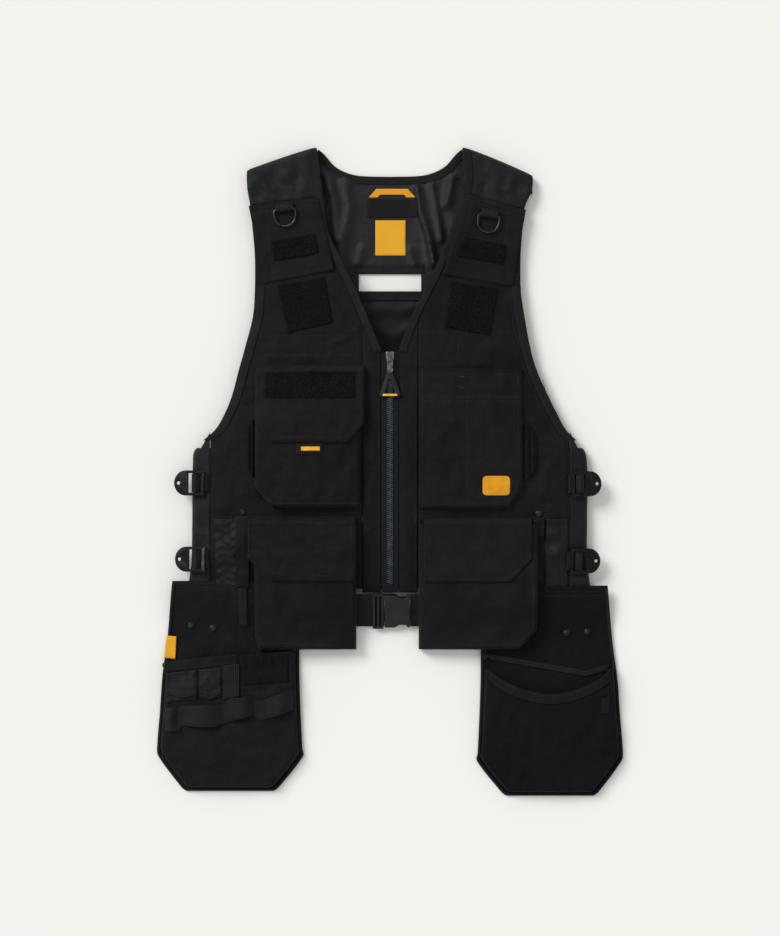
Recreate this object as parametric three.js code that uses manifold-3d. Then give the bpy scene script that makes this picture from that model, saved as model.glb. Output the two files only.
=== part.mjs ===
// Utility work vest lying on its back, front side up.
// Millimetres: +X to the right, +Y towards the collar, +Z up from the surface it lies on.
import * as THREE from 'three';
import { mergeVertices } from 'three/addons/utils/BufferGeometryUtils.js';
import Module from 'manifold-3d';

// Whole vest
const vestLength = 616;
const bodyHalfWidth = 275;
const torsoDepth = 30;
const cloth = 2;
const gap = 0.5;
const looseGap = 0.9;

// Back
const neckHalfWidth = 100;
const neckDrop = 41;
const yokeLength = 212;
const slotWidth = 87;
const slotHeight = 24;
const slotBand = 11;
const foldTurn = 26;
const shoulderDropLeft = 34;
const shoulderDropRight = 42;
const sideSeamInset = 25;
const sideSeam = bodyHalfWidth - sideSeamInset;
const sidePanelRise = 22;

// Bindings, plackets and zip
const bindingWidth = 11;
const bindingWall = 1.2;
const placketOuter = 39;
const zipWidth = 24;
const zipTopShare = 0.466;
const placketTail = 5;
const placketExtra = 0.6;
const bindingStart = 16;
const chainWidth = 10;
const chainRise = 1.6;
const tapeWall = 1.4;

// Shoulder straps and their rings
const strapRun = 22;
const strapStandOff = 4;
const patchWall = 1.5;
const webbing = 1.4;
const ringWire = 3.5;
const ringWidth = 33;
const ringHeight = 27.5;
const ringTabWidth = 24;
const ringTabTail = 9;
const runClearance = 0.35;
const fixedClearance = 0.6;

// Zip slider and pull
const sliderWidth = 11;
const sliderLength = 16;
const sliderPlate = 1.6;
const bailWidth = 2.4;
const bailLength = 11;
const bailHeight = 5.6;
const bailWall = 1.5;
const tabWidth = 8;
const tabLength = 21;
const tabWall = 1.6;
const tabSlotLength = 8;
const pullWidth = 30;
const pullHeight = 36;
const pullRim = 4.6;
const pullWall = 2.6;

// Side adjusters
const frameLength = 26;
const frameWidth = 35;
const frameWall = 3;
const frameBar = 4;
const frameEnd = 16;
const frameEndHole = 5;
const sideWebWidth = 25;
const sideWebTail = 17;

// Belt
const beltWidth = 46;
const beltDrop = 7;
const slideLength = 15;
const slideWall = 3.4;
const slideBar = 3;
const buckleLength = 35;
const buckleWidth = 48;
const buckleWaist = 40;
const buckleWall = 9;
const beltHalfGap = 41;
const beltTuck = 22;
const beltStep = 8;
const buckleMiddle = 10;

// Holsters
const holsterLength = 294;
const holsterHalfWidth = 102;
const holsterCentre = 223.4;
const holsterReach = 70;
const holsterTuck = 11;
const holsterShift = 6.6;
const holsterInset = 5;
const holsterPouchTop = 112;
const holsterPouchInnerTop = 98;
const holsterPouchDepth = 12;
const bagTop = 116;
const bagSag = 34;
const bagDepth = 18;
const loopWidth = 24;
const loopRise = 8;
const loopCount = 4;
const loopDown = 166;
const loopSlant = 16;

// The middle of the whole length is the origin, so the neck points are half of it above
const overallLength = vestLength - holsterTuck + holsterLength + holsterShift;
const topY = overallLength / 2;
const hemY = topY - vestLength;

// Body outline and height, by section down the front: the edges are shares of the body's half width,
// the crown at the middle and the height at the edge are shares of the torso depth
const sections = [
  { down: 0.000, outerLeft: 0.740, outerRight: 0.740, neckLeft: 0.370, neckRight: 0.365, crown: 0.44, edge: 0.40 },
  { down: 0.065, outerLeft: 0.727, outerRight: 0.725, neckLeft: 0.352, neckRight: 0.378, crown: 0.47, edge: 0.40 },
  { down: 0.131, outerLeft: 0.709, outerRight: 0.684, neckLeft: 0.335, neckRight: 0.350, crown: 0.54, edge: 0.40 },
  { down: 0.191, outerLeft: 0.695, outerRight: 0.670, neckLeft: 0.316, neckRight: 0.303, crown: 0.66, edge: 0.38 },
  { down: 0.255, outerLeft: 0.684, outerRight: 0.661, neckLeft: 0.247, neckRight: 0.249, crown: 0.78, edge: 0.37 },
  { down: 0.328, outerLeft: 0.685, outerRight: 0.663, neckLeft: 0.168, neckRight: 0.171, crown: 0.88, edge: 0.37 },
  { down: 0.386, outerLeft: 0.695, outerRight: 0.682, neckLeft: 0.115, neckRight: 0.107, crown: 0.95, edge: 0.38 },
  { down: 0.460, outerLeft: 0.737, outerRight: 0.713, neckLeft: 0.045, neckRight: 0.043, crown: 1.00, edge: 0.40 },
  { down: 0.508, outerLeft: 0.767, outerRight: 0.745, neckLeft: 0, neckRight: 0, crown: 1.02, edge: 0.40 },
  { down: 0.563, outerLeft: 0.800, outerRight: 0.800, neckLeft: 0, neckRight: 0, crown: 1.03, edge: 0.41 },
  { down: 0.601, outerLeft: 0.833, outerRight: 0.842, neckLeft: 0, neckRight: 0, crown: 1.02, edge: 0.42 },
  { down: 0.641, outerLeft: 0.886, outerRight: 0.891, neckLeft: 0, neckRight: 0, crown: 1.00, edge: 0.43 },
  { down: 0.682, outerLeft: 0.985, outerRight: 0.980, neckLeft: 0, neckRight: 0, crown: 0.97, edge: 0.44 },
  { down: 0.719, outerLeft: 1.000, outerRight: 1.000, neckLeft: 0, neckRight: 0, crown: 0.94, edge: 0.44 },
  { down: 0.845, outerLeft: 1.003, outerRight: 1.000, neckLeft: 0, neckRight: 0, crown: 0.84, edge: 0.43 },
  { down: 0.940, outerLeft: 1.008, outerRight: 1.000, neckLeft: 0, neckRight: 0, crown: 0.62, edge: 0.38 },
  { down: 1.000, outerLeft: 1.025, outerRight: 1.018, neckLeft: 0, neckRight: 0, crown: 0.46, edge: 0.36 },
];

// Folds and dents of the front: places and sizes are shares of the body's half width,
// the vest's length and the torso depth, turn is in degrees
const folds = [
  { across: -0.50, down: 0.463, turn: -14, long: 0.24, wide: 0.050, high: 0.08 },
  { across: 0.52, down: 0.466, turn: 16, long: 0.24, wide: 0.050, high: 0.08 },
  { across: -0.86, down: 0.800, turn: 20, long: 0.20, wide: 0.060, high: 0.12 },
  { across: 0.84, down: 0.790, turn: -35, long: 0.22, wide: 0.060, high: 0.12 },
  { across: -0.84, down: 0.915, turn: 35, long: 0.20, wide: 0.055, high: 0.13 },
  { across: 0.84, down: 0.920, turn: 30, long: 0.20, wide: 0.055, high: 0.10 },
];

// Back neckline: shares of the neck's half width and of its drop
const neckline = [
  { across: 0.00, rise: 0.00 },
  { across: 0.41, rise: 0.03 },
  { across: 0.60, rise: 0.14 },
  { across: 0.78, rise: 0.39 },
  { across: 0.92, rise: 0.80 },
  { across: 1.00, rise: 0.98 },
];

// Holster outline: shares of the holster's length and half width
const holsterSections = [
  { down: 0.00, outer: 0.78, inner: 0.90 },
  { down: 0.28, outer: 0.86, inner: 0.945 },
  { down: 0.45, outer: 0.925, inner: 0.95 },
  { down: 0.62, outer: 0.96, inner: 0.965 },
  { down: 0.80, outer: 1.00, inner: 0.99 },
  { down: 0.835, outer: 0.98, inner: 1.00 },
  { down: 0.985, outer: 0.66, inner: 0.66 },
  { down: 1.00, outer: 0.60, inner: 0.60 },
];

// Shoulder straps and loop patches: corners from the top outer one round to the bottom outer one,
// each a share of the body's half width and of the vest's length
const strapCorners = {
  left: [[-0.715, 0.135], [-0.364, 0.117], [-0.281, 0.281], [-0.638, 0.311]],
  right: [[0.688, 0.144], [0.391, 0.108], [0.264, 0.291], [0.620, 0.318]],
};
const smallPatchCorners = {
  left: [[-0.602, 0.215], [-0.378, 0.199], [-0.362, 0.244], [-0.588, 0.260]],
  right: [[0.587, 0.224], [0.380, 0.206], [0.339, 0.250], [0.576, 0.267]],
};
const largePatchCorners = {
  left: [[-0.571, 0.316], [-0.331, 0.296], [-0.289, 0.400], [-0.516, 0.423]],
  right: [[0.546, 0.322], [0.312, 0.307], [0.275, 0.409], [0.505, 0.428]],
};

// Pockets: lengths in millimetres from the placket and the top of the vest
const chestLeft = { inner: 40.5, width: 147, top: 314.5, height: 188, corner: 24, cornerRise: 29, depth: 15 };
const chestRight = { inner: 40.5, width: 143, top: 310, height: 194, corner: 18, cornerRise: 30, depth: 10 };
const lowerLeft = { inner: 46.9, width: 141.5, top: 524, height: 177, corner: 6, cornerRise: 20, depth: 15 };
const lowerRight = { inner: 40, width: 165.5, top: 525.5, height: 175.5, corner: 26, cornerRise: 28, depth: 15 };
const chestFlap = { inner: 36, width: 150.5, top: 306, height: 107, corner: 23, innerCorner: 22, cornerRise: 26 };
const lowerFlapLeft = { inner: 48, width: 149, top: 515.5, height: 89, corner: 32, innerCorner: 0, cornerRise: 32 };
const lowerFlapRight = { inner: 46.5, width: 150, top: 517, height: 88, corner: 30, innerCorner: 0, cornerRise: 32 };
const flapWall = 2.4;
const flapSeam = 7;
const rimRun = 2.5;
const patchInset = 13;
const patchDrop = 9;
const patchHeight = 36;
const pouchRun = 22;
const pouchStart = 28;
const mouthRun = 70;
const mouthShare = 0.6;
const crownShare = 0.2;

const smooth = (share) => share * share * (3 - 2 * share);
const clamp = (value) => Math.min(1, Math.max(0, value));
const mix = (a, b, share) => a + (b - a) * share;

// Value of one column of a table at a place along it, on a smooth curve through its rows
function along(table, place, key, column) {
  const last = table.length - 1;
  if (place <= table[0][key]) return table[0][column];
  if (place >= table[last][key]) return table[last][column];
  const i = table.findIndex((row) => row[key] > place) - 1;
  const slope = (k) => {
    const before = table[Math.max(k - 1, 0)];
    const after = table[Math.min(k + 1, last)];
    return (after[column] - before[column]) / (after[key] - before[key]);
  };
  const step = table[i + 1][key] - table[i][key];
  const t = (place - table[i][key]) / step;
  const start = table[i][column];
  const end = table[i + 1][column];
  const bend = (t ** 3 - 2 * t ** 2 + t) * slope(i) + (t ** 3 - t ** 2) * slope(i + 1);
  return mix(start, end, smooth(t)) + bend * step;
}

const downAt = (y) => (topY - y) / vestLength;
const column = (side, name) => name + (side < 0 ? 'Left' : 'Right');

// Armhole or side edge, and neck edge, as distances from the middle
function outerEdge(side, y) {
  return bodyHalfWidth * along(sections, downAt(y), 'down', column(side, 'outer'));
}

function neckEdge(side, y) {
  return bodyHalfWidth * along(sections, downAt(y), 'down', column(side, 'neck'));
}

function foldHeight(x, y) {
  let height = 0;
  for (const fold of folds) {
    const turn = THREE.MathUtils.degToRad(fold.turn);
    const dx = x - fold.across * bodyHalfWidth;
    const dy = y - (topY - fold.down * vestLength);
    const lengthwise = (dx * Math.cos(turn) + dy * Math.sin(turn)) / (fold.long * bodyHalfWidth);
    const crosswise = (dy * Math.cos(turn) - dx * Math.sin(turn)) / (fold.wide * bodyHalfWidth);
    height += fold.high * torsoDepth * Math.exp(-(lengthwise ** 2) - crosswise ** 2);
  }
  return height;
}

// Height of the front cloth's underside
function frontHeight(x, y) {
  const down = clamp(downAt(y));
  const crown = torsoDepth * along(sections, down, 'down', 'crown');
  const edge = torsoDepth * along(sections, down, 'down', 'edge');
  const reach = Math.min(Math.abs(x) / outerEdge(Math.sign(x) || 1, topY - down * vestLength), 1.1);
  return edge + (crown - edge) * (1 - reach ** 2) + foldHeight(x, y);
}

// Underside of the holster backs: on the vest's hem at the top, then down to the surface
const holsterTop = hemY + holsterTuck;
function holsterHeight(x, y) {
  const onHem = frontHeight(x, Math.max(y, hemY)) + cloth + gap;
  return onHem * (1 - smooth(clamp((hemY - y) / holsterReach)));
}

// Underside of the lower pouches: on the front at the waist, over the holsters below
function lowerHeight(x, y) {
  const overHolster = holsterHeight(x, y) + cloth + looseGap;
  const overFront = frontHeight(x, y) + cloth + looseGap;
  return mix(overFront, overHolster, smooth(clamp((holsterTop + pouchStart - y) / pouchRun)));
}

// One closed body between an outside and an inside surface that share a grid of cells.
// skip leaves cells out, as for a slot.
function shell(across, down, outside, inside, skip = () => false) {
  const columns = across.length;
  const rows = down.length;
  const positions = [];
  for (const surface of [outside, inside]) {
    for (const v of down) {
      for (const u of across) positions.push(...surface(u, v));
    }
  }
  const cells = [];
  const edges = new Map();
  const addEdge = (a, b) => {
    if (!edges.delete(`${b},${a}`)) edges.set(`${a},${b}`, [a, b]);
  };
  for (let i = 0; i + 1 < rows; i += 1) {
    for (let j = 0; j + 1 < columns; j += 1) {
      if (skip((across[j] + across[j + 1]) / 2, (down[i] + down[i + 1]) / 2)) continue;
      const ring = [i * columns + j, (i + 1) * columns + j, (i + 1) * columns + j + 1, i * columns + j + 1];
      cells.push(ring);
      ring.forEach((corner, k) => addEdge(corner, ring[(k + 1) % 4]));
    }
  }
  const inner = rows * columns;
  const faces = [];
  for (const [a, b, c, d] of cells) {
    faces.push([a, b, c], [a, c, d], [a + inner, c + inner, b + inner], [a + inner, d + inner, c + inner]);
  }
  for (const [a, b] of edges.values()) {
    faces.push([b, a, a + inner], [b, a + inner, b + inner]);
  }
  return closedBody(positions, faces);
}

// Geometry of a closed body, with its faces turned outwards
function closedBody(positions, faces) {
  const point = (k) => new THREE.Vector3().fromArray(positions, k * 3);
  let volume = 0;
  for (const [a, b, c] of faces) volume += point(a).dot(point(b).cross(point(c)));
  const index = faces.flatMap(([a, b, c]) => (volume > 0 ? [a, b, c] : [a, c, b]));
  const geometry = new THREE.BufferGeometry();
  geometry.setAttribute('position', new THREE.Float32BufferAttribute(positions, 3));
  geometry.setIndex(index);
  return geometry.toNonIndexed();
}

// Even steps from 0 to 1, with extra places put in
function steps(count, ...extra) {
  const places = Array.from({ length: count + 1 }, (_, i) => i / count);
  const all = [...places, ...extra].sort((a, b) => a - b);
  return all.filter((value, i) => i === 0 || value - all[i - 1] > 1e-4);
}

// Wall of even thickness over a height function, between two edges given for each height of the page
function wallBetween(across, down, place, height, wall, skip) {
  const outside = (u, v) => {
    const [x, y] = place(u, v);
    return [x, y, height(x, y) + wall];
  };
  const inside = (u, v) => {
    const [x, y] = place(u, v);
    return [x, y, height(x, y)];
  };
  return shell(across, down, outside, inside, skip);
}

const vest = new THREE.Group();

const finishes = {
  canvas: { color: 0x1d1e21, roughness: 0.9 },
  satin: { color: 0x2b2e36, roughness: 0.5 },
  binding: { color: 0x1a1b1d, roughness: 0.8 },
  loop: { color: 0x0d0d0e, roughness: 1 },
  webbing: { color: 0x202022, roughness: 0.85 },
  plastic: { color: 0x151617, roughness: 0.5 },
  steel: { color: 0xb9bbbe, roughness: 0.3, metalness: 0.9 },
  darkSteel: { color: 0x4b4d50, roughness: 0.4, metalness: 0.8 },
  navy: { color: 0x191e2a, roughness: 0.8 },
  yellow: { color: 0xf2a51e, roughness: 0.7 },
};

function add(name, finish, geometry, matrix) {
  const material = new THREE.MeshStandardMaterial({ metalness: 0, ...finishes[finish] });
  const mesh = new THREE.Mesh(geometry, material);
  mesh.name = name;
  if (matrix) matrix.decompose(mesh.position, mesh.quaternion, mesh.scale);
  vest.add(mesh);
}

// Slopes of a height function along X and Y
function slopes(height, x, y) {
  const reach = 5;
  const slopeX = (height(x + reach, y) - height(x - reach, y)) / (2 * reach);
  const slopeY = (height(x, y + reach) - height(x, y - reach)) / (2 * reach);
  return [slopeX, slopeY];
}

// Place on a surface: Z along its normal, X turned on it by an angle from the page's X
function seat(height, x, y, turn, lift) {
  const [slopeX, slopeY] = slopes(height, x, y);
  const normal = new THREE.Vector3(-slopeX, -slopeY, 1).normalize();
  const angle = THREE.MathUtils.degToRad(turn);
  const right = new THREE.Vector3(Math.cos(angle), Math.sin(angle), 0);
  right.addScaledVector(normal, -right.dot(normal)).normalize();
  const up = new THREE.Vector3().crossVectors(normal, right);
  const origin = new THREE.Vector3(x, y, height(x, y)).addScaledVector(normal, lift);
  return new THREE.Matrix4().makeBasis(right, up, normal).setPosition(origin);
}

function extrude(shape, depth, curveSegments = 6) {
  return new THREE.ExtrudeGeometry(shape, { depth, bevelEnabled: false, curveSegments });
}

function outline(points) {
  return new THREE.Shape(points.map(([x, y]) => new THREE.Vector2(x, y)));
}

function hole(points) {
  return new THREE.Path(points.map(([x, y]) => new THREE.Vector2(x, y)));
}

const rectangle = (left, bottom, right, top) => [[left, bottom], [right, bottom], [right, top], [left, top]];

// Back of the vest, lying on the surface
function seamY(side, u) {
  const [[, outerDown], [, innerDown]] = strapCorners[side < 0 ? 'left' : 'right'];
  return topY - vestLength * mix(innerDown, outerDown, u);
}

function shoulderTop(side, x) {
  const share = clamp((Math.abs(x) - neckHalfWidth) / (outerEdge(side, topY) - neckHalfWidth));
  const drop = side < 0 ? shoulderDropLeft : shoulderDropRight;
  return topY - drop * share ** 1.15;
}

function backTop(x) {
  const neckShare = Math.abs(x) / neckHalfWidth;
  const fold = shoulderTop(Math.sign(x) || 1, x) - foldTurn - gap;
  if (neckShare >= 1) return fold;
  return Math.min(fold, topY - neckDrop * (1 - along(neckline, neckShare, 'across', 'rise')));
}

const yokeBottom = topY - yokeLength;
const slotTop = yokeBottom + slotBand + slotHeight;
const halfBack = (side, y) => Math.min(outerEdge(side, y), sideSeam) - cloth;

// Across, -1 to 1 is the slot's width and 2 the outer edge; down, 1 is the slot's top, 2 its bottom and 3 the seam
function backYoke() {
  const lowRows = [slotTop, slotTop - slotHeight, yokeBottom];
  const place = (u, v) => {
    const side = Math.sign(u) || 1;
    const slotEnd = slotWidth / 2;
    const xAt = (y) => (Math.abs(u) <= 1 ? u * slotEnd : side * mix(slotEnd, halfBack(side, y), Math.abs(u) - 1));
    if (v >= 1) return [xAt(lowRows[v - 1]), lowRows[v - 1]];
    const topX = xAt(shoulderTop(side, sideSeam) - foldTurn);
    return [mix(topX, xAt(slotTop), v), mix(backTop(topX), slotTop, v)];
  };
  const across = [-2, -1.6, -1.3, -1.17, -1, 0, 1, 1.17, 1.3, 1.6, 2];
  const inSlot = (u, v) => Math.abs(u) < 1 && v > 1 && v < 2;
  return wallBetween(across, [0, 0.25, 0.5, 0.75, 1, 2, 3], place, () => 0, cloth, inSlot);
}
add('back_yoke', 'satin', backYoke());

function lowerBack() {
  const top = yokeBottom - gap;
  const place = (u, v) => {
    const y = mix(top, hemY, v);
    return [u * halfBack(Math.sign(u) || 1, y), y];
  };
  return wallBetween(steps(2).map((s) => s * 2 - 1), steps(14), place, () => 0, cloth);
}
add('lower_back', 'satin', lowerBack());

// Shoulder: from the strap seam up over the fold and round onto the back
function shoulder(side) {
  const turns = 6;
  const rows = [0, 1, 2, ...Array.from({ length: turns }, (_, i) => 3 + i), 3 + turns];
  const path = (u, v, outer) => {
    const nearNeck = neckEdge(side, topY) + gap;
    const farEdge = outerEdge(side, topY - vestLength * 0.065) - gap;
    const x0 = side * mix(nearNeck, farEdge, u);
    const foldY = shoulderTop(side, x0);
    const front = frontHeight(x0, foldY);
    const radius = (front - cloth) / 2;
    const arcY = foldY - radius - cloth;
    if (v <= 2) {
      const y = mix(seamY(side, u) + gap, arcY, v / 2);
      const x = side * mix(neckEdge(side, y), outerEdge(side, y), u);
      const height = mix(frontHeight(x, y), front, v / 2);
      return [x, y, outer ? height + cloth : height];
    }
    if (v > 2 + turns) return [x0, foldY - foldTurn, outer ? 0 : cloth];
    const angle = (Math.PI * (v - 2)) / turns;
    const reach = outer ? radius + cloth : radius;
    return [x0, arcY + reach * Math.sin(angle), cloth + radius + reach * Math.cos(angle)];
  };
  return shell(steps(5), rows, (u, v) => path(u, v, true), (u, v) => path(u, v, false));
}

// Side panel: from the front's seam out over the side fold and round to the back's seam
function sidePanel(side) {
  const turns = 6;
  const rows = [0, 1, ...Array.from({ length: turns }, (_, i) => 2 + i), 2 + turns];
  const place = (t, v, outer) => {
    const y0 = mix(topY - vestLength * 0.682, hemY, v);
    const edge = outerEdge(side, y0);
    const front = frontHeight(side * edge, y0);
    const radius = (front - cloth) / 2;
    const arcX = edge - radius - cloth;
    const startX = sideSeam + gap;
    const share = t <= 1 ? t : 1;
    const lift = sidePanelRise * (1 - share) * (1 - v);
    const y = y0 + (t <= 1 ? lift : 0);
    if (t <= 1) {
      const x = mix(startX, arcX, t);
      const height = mix(frontHeight(side * x, y), front, t);
      return [side * x, y, outer ? height + cloth : height];
    }
    if (t > 1 + turns) return [side * startX, y0, outer ? 0 : cloth];
    const angle = (Math.PI * (t - 1)) / turns;
    const reach = outer ? radius + cloth : radius;
    return [side * (arcX + reach * Math.sin(angle)), y0, cloth + radius + reach * Math.cos(angle)];
  };
  return shell(rows, steps(8), (t, v) => place(t, v, true), (t, v) => place(t, v, false));
}

// Front panel from the strap seam to the hem, out to the armhole and the side seam
const zipTop = topY - vestLength * zipTopShare;
function front(side) {
  const place = (u, v) => {
    const y = mix(seamY(side, u), hemY, v);
    const inner = Math.max(neckEdge(side, y), placketOuter);
    return [side * mix(inner, Math.min(outerEdge(side, y), sideSeam), u), y];
  };
  return wallBetween(steps(8), steps(22), place, frontHeight, cloth);
}

// Placket: the doubled strip beside the zip, cut to a point by the neck edge at its top
function placket(side) {
  let pointY = zipTop;
  while (neckEdge(side, pointY) < placketOuter - 2 * gap - 1) pointY += 1;
  const place = (u, v) => {
    const y = mix(pointY, hemY - placketTail, v);
    const inner = Math.max(neckEdge(side, y), zipWidth / 2 + gap);
    return [side * mix(inner, placketOuter - gap, u), y];
  };
  return wallBetween(steps(2), steps(20), place, frontHeight, cloth + placketExtra);
}

// Zip: tape on both sides of a raised chain
function zip() {
  const half = zipWidth / 2;
  const chain = chainWidth / 2;
  const stations = [-half, -chain - 0.4, -chain, chain, chain + 0.4, half];
  const place = (v) => mix(zipTop, hemY - placketTail, v);
  const outside = (x, v) => {
    const raised = Math.abs(x) <= chain ? chainRise : 0;
    return [x, place(v), frontHeight(x, place(v)) + tapeWall + raised];
  };
  const inside = (x, v) => [x, place(v), frontHeight(x, place(v))];
  return shell(stations, steps(16), outside, inside);
}

// Bindings on the neck edges
function neckBinding(side) {
  const topEnd = shoulderTop(side, neckHalfWidth) - bindingStart;
  const place = (u, v) => {
    const y = mix(topEnd, zipTop, v);
    const edge = Math.max(neckEdge(side, y), zipWidth / 2 + gap);
    return [side * (edge + bindingWidth * u), y];
  };
  const onEdge = (x, y) => frontHeight(x, y) + cloth + placketExtra + gap;
  return wallBetween(steps(1), steps(18), place, onEdge, bindingWall);
}

function backNeckBinding() {
  const reach = 0.9;
  const place = (u, v) => {
    const x = mix(-reach, reach, u) * neckHalfWidth;
    return [x, backTop(x) - bindingWidth * v];
  };
  return wallBetween(steps(16), steps(1), place, () => cloth + gap, bindingWall);
}

for (const [word, side] of [['left', -1], ['right', 1]]) {
  add(`shoulder_${word}`, 'satin', shoulder(side));
  add(`side_panel_${word}`, 'satin', sidePanel(side));
  add(`front_${word}`, 'canvas', front(side));
  add(`placket_${word}`, 'canvas', placket(side));
  add(`neck_binding_${word}`, 'binding', neckBinding(side));
}
add('neck_binding_back', 'binding', backNeckBinding());
add('zip', 'navy', zip());

// Straps and patches laid on the front
const onFront = (x, y) => frontHeight(x, y) + cloth + gap;
const underStrap = (x, y) => {
  const reach = neckEdge(Math.sign(x), y) + bindingWidth + strapStandOff + strapRun - Math.abs(x);
  return onFront(x, y) + (placketExtra + bindingWall + looseGap) * smooth(clamp(reach / strapRun));
};
const onStrap = (x, y) => underStrap(x, y) + cloth + gap;

function cornerPlace(corners) {
  const at = ([across, down]) => [across * bodyHalfWidth, topY - down * vestLength];
  const [topOuter, topInner, bottomInner, bottomOuter] = corners.map(at);
  const between = (a, b, share) => [mix(a[0], b[0], share), mix(a[1], b[1], share)];
  return (u, v) => between(between(topOuter, topInner, u), between(bottomOuter, bottomInner, u), v);
}

// Plane that touches a surface at one place
function planeAt(height, x, y) {
  const [slopeX, slopeY] = slopes(height, x, y);
  const level = height(x, y);
  return (px, py) => level + slopeX * (px - x) + slopeY * (py - y);
}

// Plane laid on a surface, clear of it all over a piece's outline
function planeOn(surface, place) {
  const plane = planeAt(surface, ...place(0.5, 0.5));
  const clearAt = (u, v) => surface(...place(u, v)) - plane(...place(u, v));
  const lift = Math.max(...steps(6).flatMap((u) => steps(6).map((v) => clearAt(u, v))));
  return (x, y) => plane(x, y) + lift;
}

function laidPatch(corners, surface) {
  const place = cornerPlace(corners);
  return wallBetween(steps(1), steps(1), place, planeOn(surface, place), patchWall);
}

// Turns a profile drawn in X and Y so that its X runs along Y, its Y along Z and its depth along X
const sideways = new THREE.Matrix4().makeBasis(
  new THREE.Vector3(0, 1, 0),
  new THREE.Vector3(0, 0, 1),
  new THREE.Vector3(1, 0, 0),
);

// Webbing folded round a bar at the origin: a loop about the bar and a doubled tail towards +Y
function webLoop(width, bar, clearance, tail) {
  const inner = bar / 2 + clearance;
  const outer = inner + webbing;
  const turns = 10;
  const rim = Array.from({ length: turns + 1 }, (_, i) => {
    const angle = -Math.PI / 2 - (Math.PI * 1.25 * i) / turns;
    return [outer * Math.cos(angle), outer * Math.sin(angle)];
  });
  const well = Array.from({ length: turns }, (_, i) => {
    const angle = (Math.PI * 2 * i) / turns;
    return [inner * Math.cos(angle), inner * Math.sin(angle)];
  });
  const tailTop = 2 * webbing - outer;
  const shape = outline([[tail, -outer], ...rim, [outer * 1.72, tailTop], [tail, tailTop]]);
  shape.holes.push(hole(well));
  const geometry = extrude(shape, width);
  geometry.translate(0, 0, -width / 2);
  return geometry.applyMatrix4(sideways);
}

const loopOuter = (bar, clearance) => bar / 2 + clearance + webbing;

// D-ring: a straight bar through the origin and a round bow towards -Y
function dRing() {
  const half = (ringWidth - ringWire) / 2;
  const leg = ringHeight - ringWire - half;
  const corner = 2.2;
  const bow = Array.from({ length: 9 }, (_, i) => {
    const angle = -(Math.PI * i) / 8;
    return [half * Math.cos(angle), half * Math.sin(angle) - leg];
  });
  const bar = [-1, -0.5, 0, 0.5, 1].map((share) => [share * (half - corner), 0]);
  const route = [...bar, [half, -corner], ...bow, [-half, -corner]];
  const points = route.map(([x, y]) => new THREE.Vector3(x, y, 0));
  const path = new THREE.CatmullRomCurve3(points, true, 'centripetal');
  return new THREE.TubeGeometry(path, 30, ringWire / 2, 6, true);
}

const ringPlaces = {
  left: { across: -0.533, down: 0.1435, turn: 5 },
  right: { across: 0.501, down: 0.158, turn: -10 },
};

for (const [word, side] of [['left', -1], ['right', 1]]) {
  const strap = cornerPlace(strapCorners[word]);
  add(`strap_panel_${word}`, 'canvas', wallBetween(steps(6), steps(6), strap, underStrap, cloth));
  add(`loop_patch_small_${word}`, 'loop', laidPatch(smallPatchCorners[word], onStrap));
  add(`loop_patch_large_${word}`, 'loop', laidPatch(largePatchCorners[word], onFront));
  const { across, down, turn } = ringPlaces[word];
  const lift = loopOuter(ringWire, runClearance);
  const spot = seat(onStrap, across * bodyHalfWidth, topY - down * vestLength, turn, lift);
  add(`d_ring_tab_${word}`, 'webbing', webLoop(ringTabWidth, ringWire, runClearance, ringTabTail), spot);
  add(`d_ring_${word}`, 'darkSteel', dRing(), spot);
}

// Distances from the middle to a pocket's two edges at a height on the page
function pocketEdges(pocket, y) {
  const bottom = topY - pocket.top - pocket.height;
  const cut = 1 - clamp((y - bottom) / pocket.cornerRise);
  const innerCut = (pocket.innerCorner ?? 0) * cut;
  return [pocket.inner + innerCut, pocket.inner + pocket.width - pocket.corner * cut];
}

// How far a pocket's front stands off what it lies on
function pocketDepth(pocket, x, y) {
  const middle = pocket.inner + pocket.width / 2;
  const reach = (Math.abs(x) - middle) / (pocket.width / 2);
  const fill = mix(mouthShare, 1, smooth(clamp((topY - pocket.top - y) / mouthRun)));
  return pocket.depth * fill * (1 - crownShare * Math.min(1, reach ** 2));
}

// Open-backed tray: a front wall whose sides and bottom turn down to what it lies on, with an open mouth.
// Across, -1 and 2 are the feet of the sides; down, 2 is the foot of the bottom.
function tray({ side, edges, mouth, bottom, surface, depth, wall = cloth, columns = 5, rows = 7 }) {
  const at = (u, v, inset) => {
    const share = clamp(u);
    const low = bottom(share) + inset + (v > 1 ? 0 : rimRun);
    const y = mix(mouth(share), low, clamp(v));
    const [inner, outer] = edges(y);
    const left = inner + inset + (u < 0 ? 0 : rimRun);
    const right = outer - inset - (u > 1 ? 0 : rimRun);
    const x = side * mix(left, right, share);
    const raised = u >= 0 && u <= 1 && v <= 1;
    return [x, y, surface(x, y) + (raised ? depth(x, y) - inset : 0)];
  };
  const across = [-1, ...steps(columns), 2];
  const down = [...steps(rows), 2];
  return shell(across, down, (u, v) => at(u, v, 0), (u, v) => at(u, v, wall));
}

function pocketTray(pocket, side, surface) {
  return tray({
    side,
    surface,
    edges: (y) => pocketEdges(pocket, y),
    mouth: () => topY - pocket.top,
    bottom: () => topY - pocket.top - pocket.height,
    depth: (x, y) => pocketDepth(pocket, x, y),
  });
}

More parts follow.
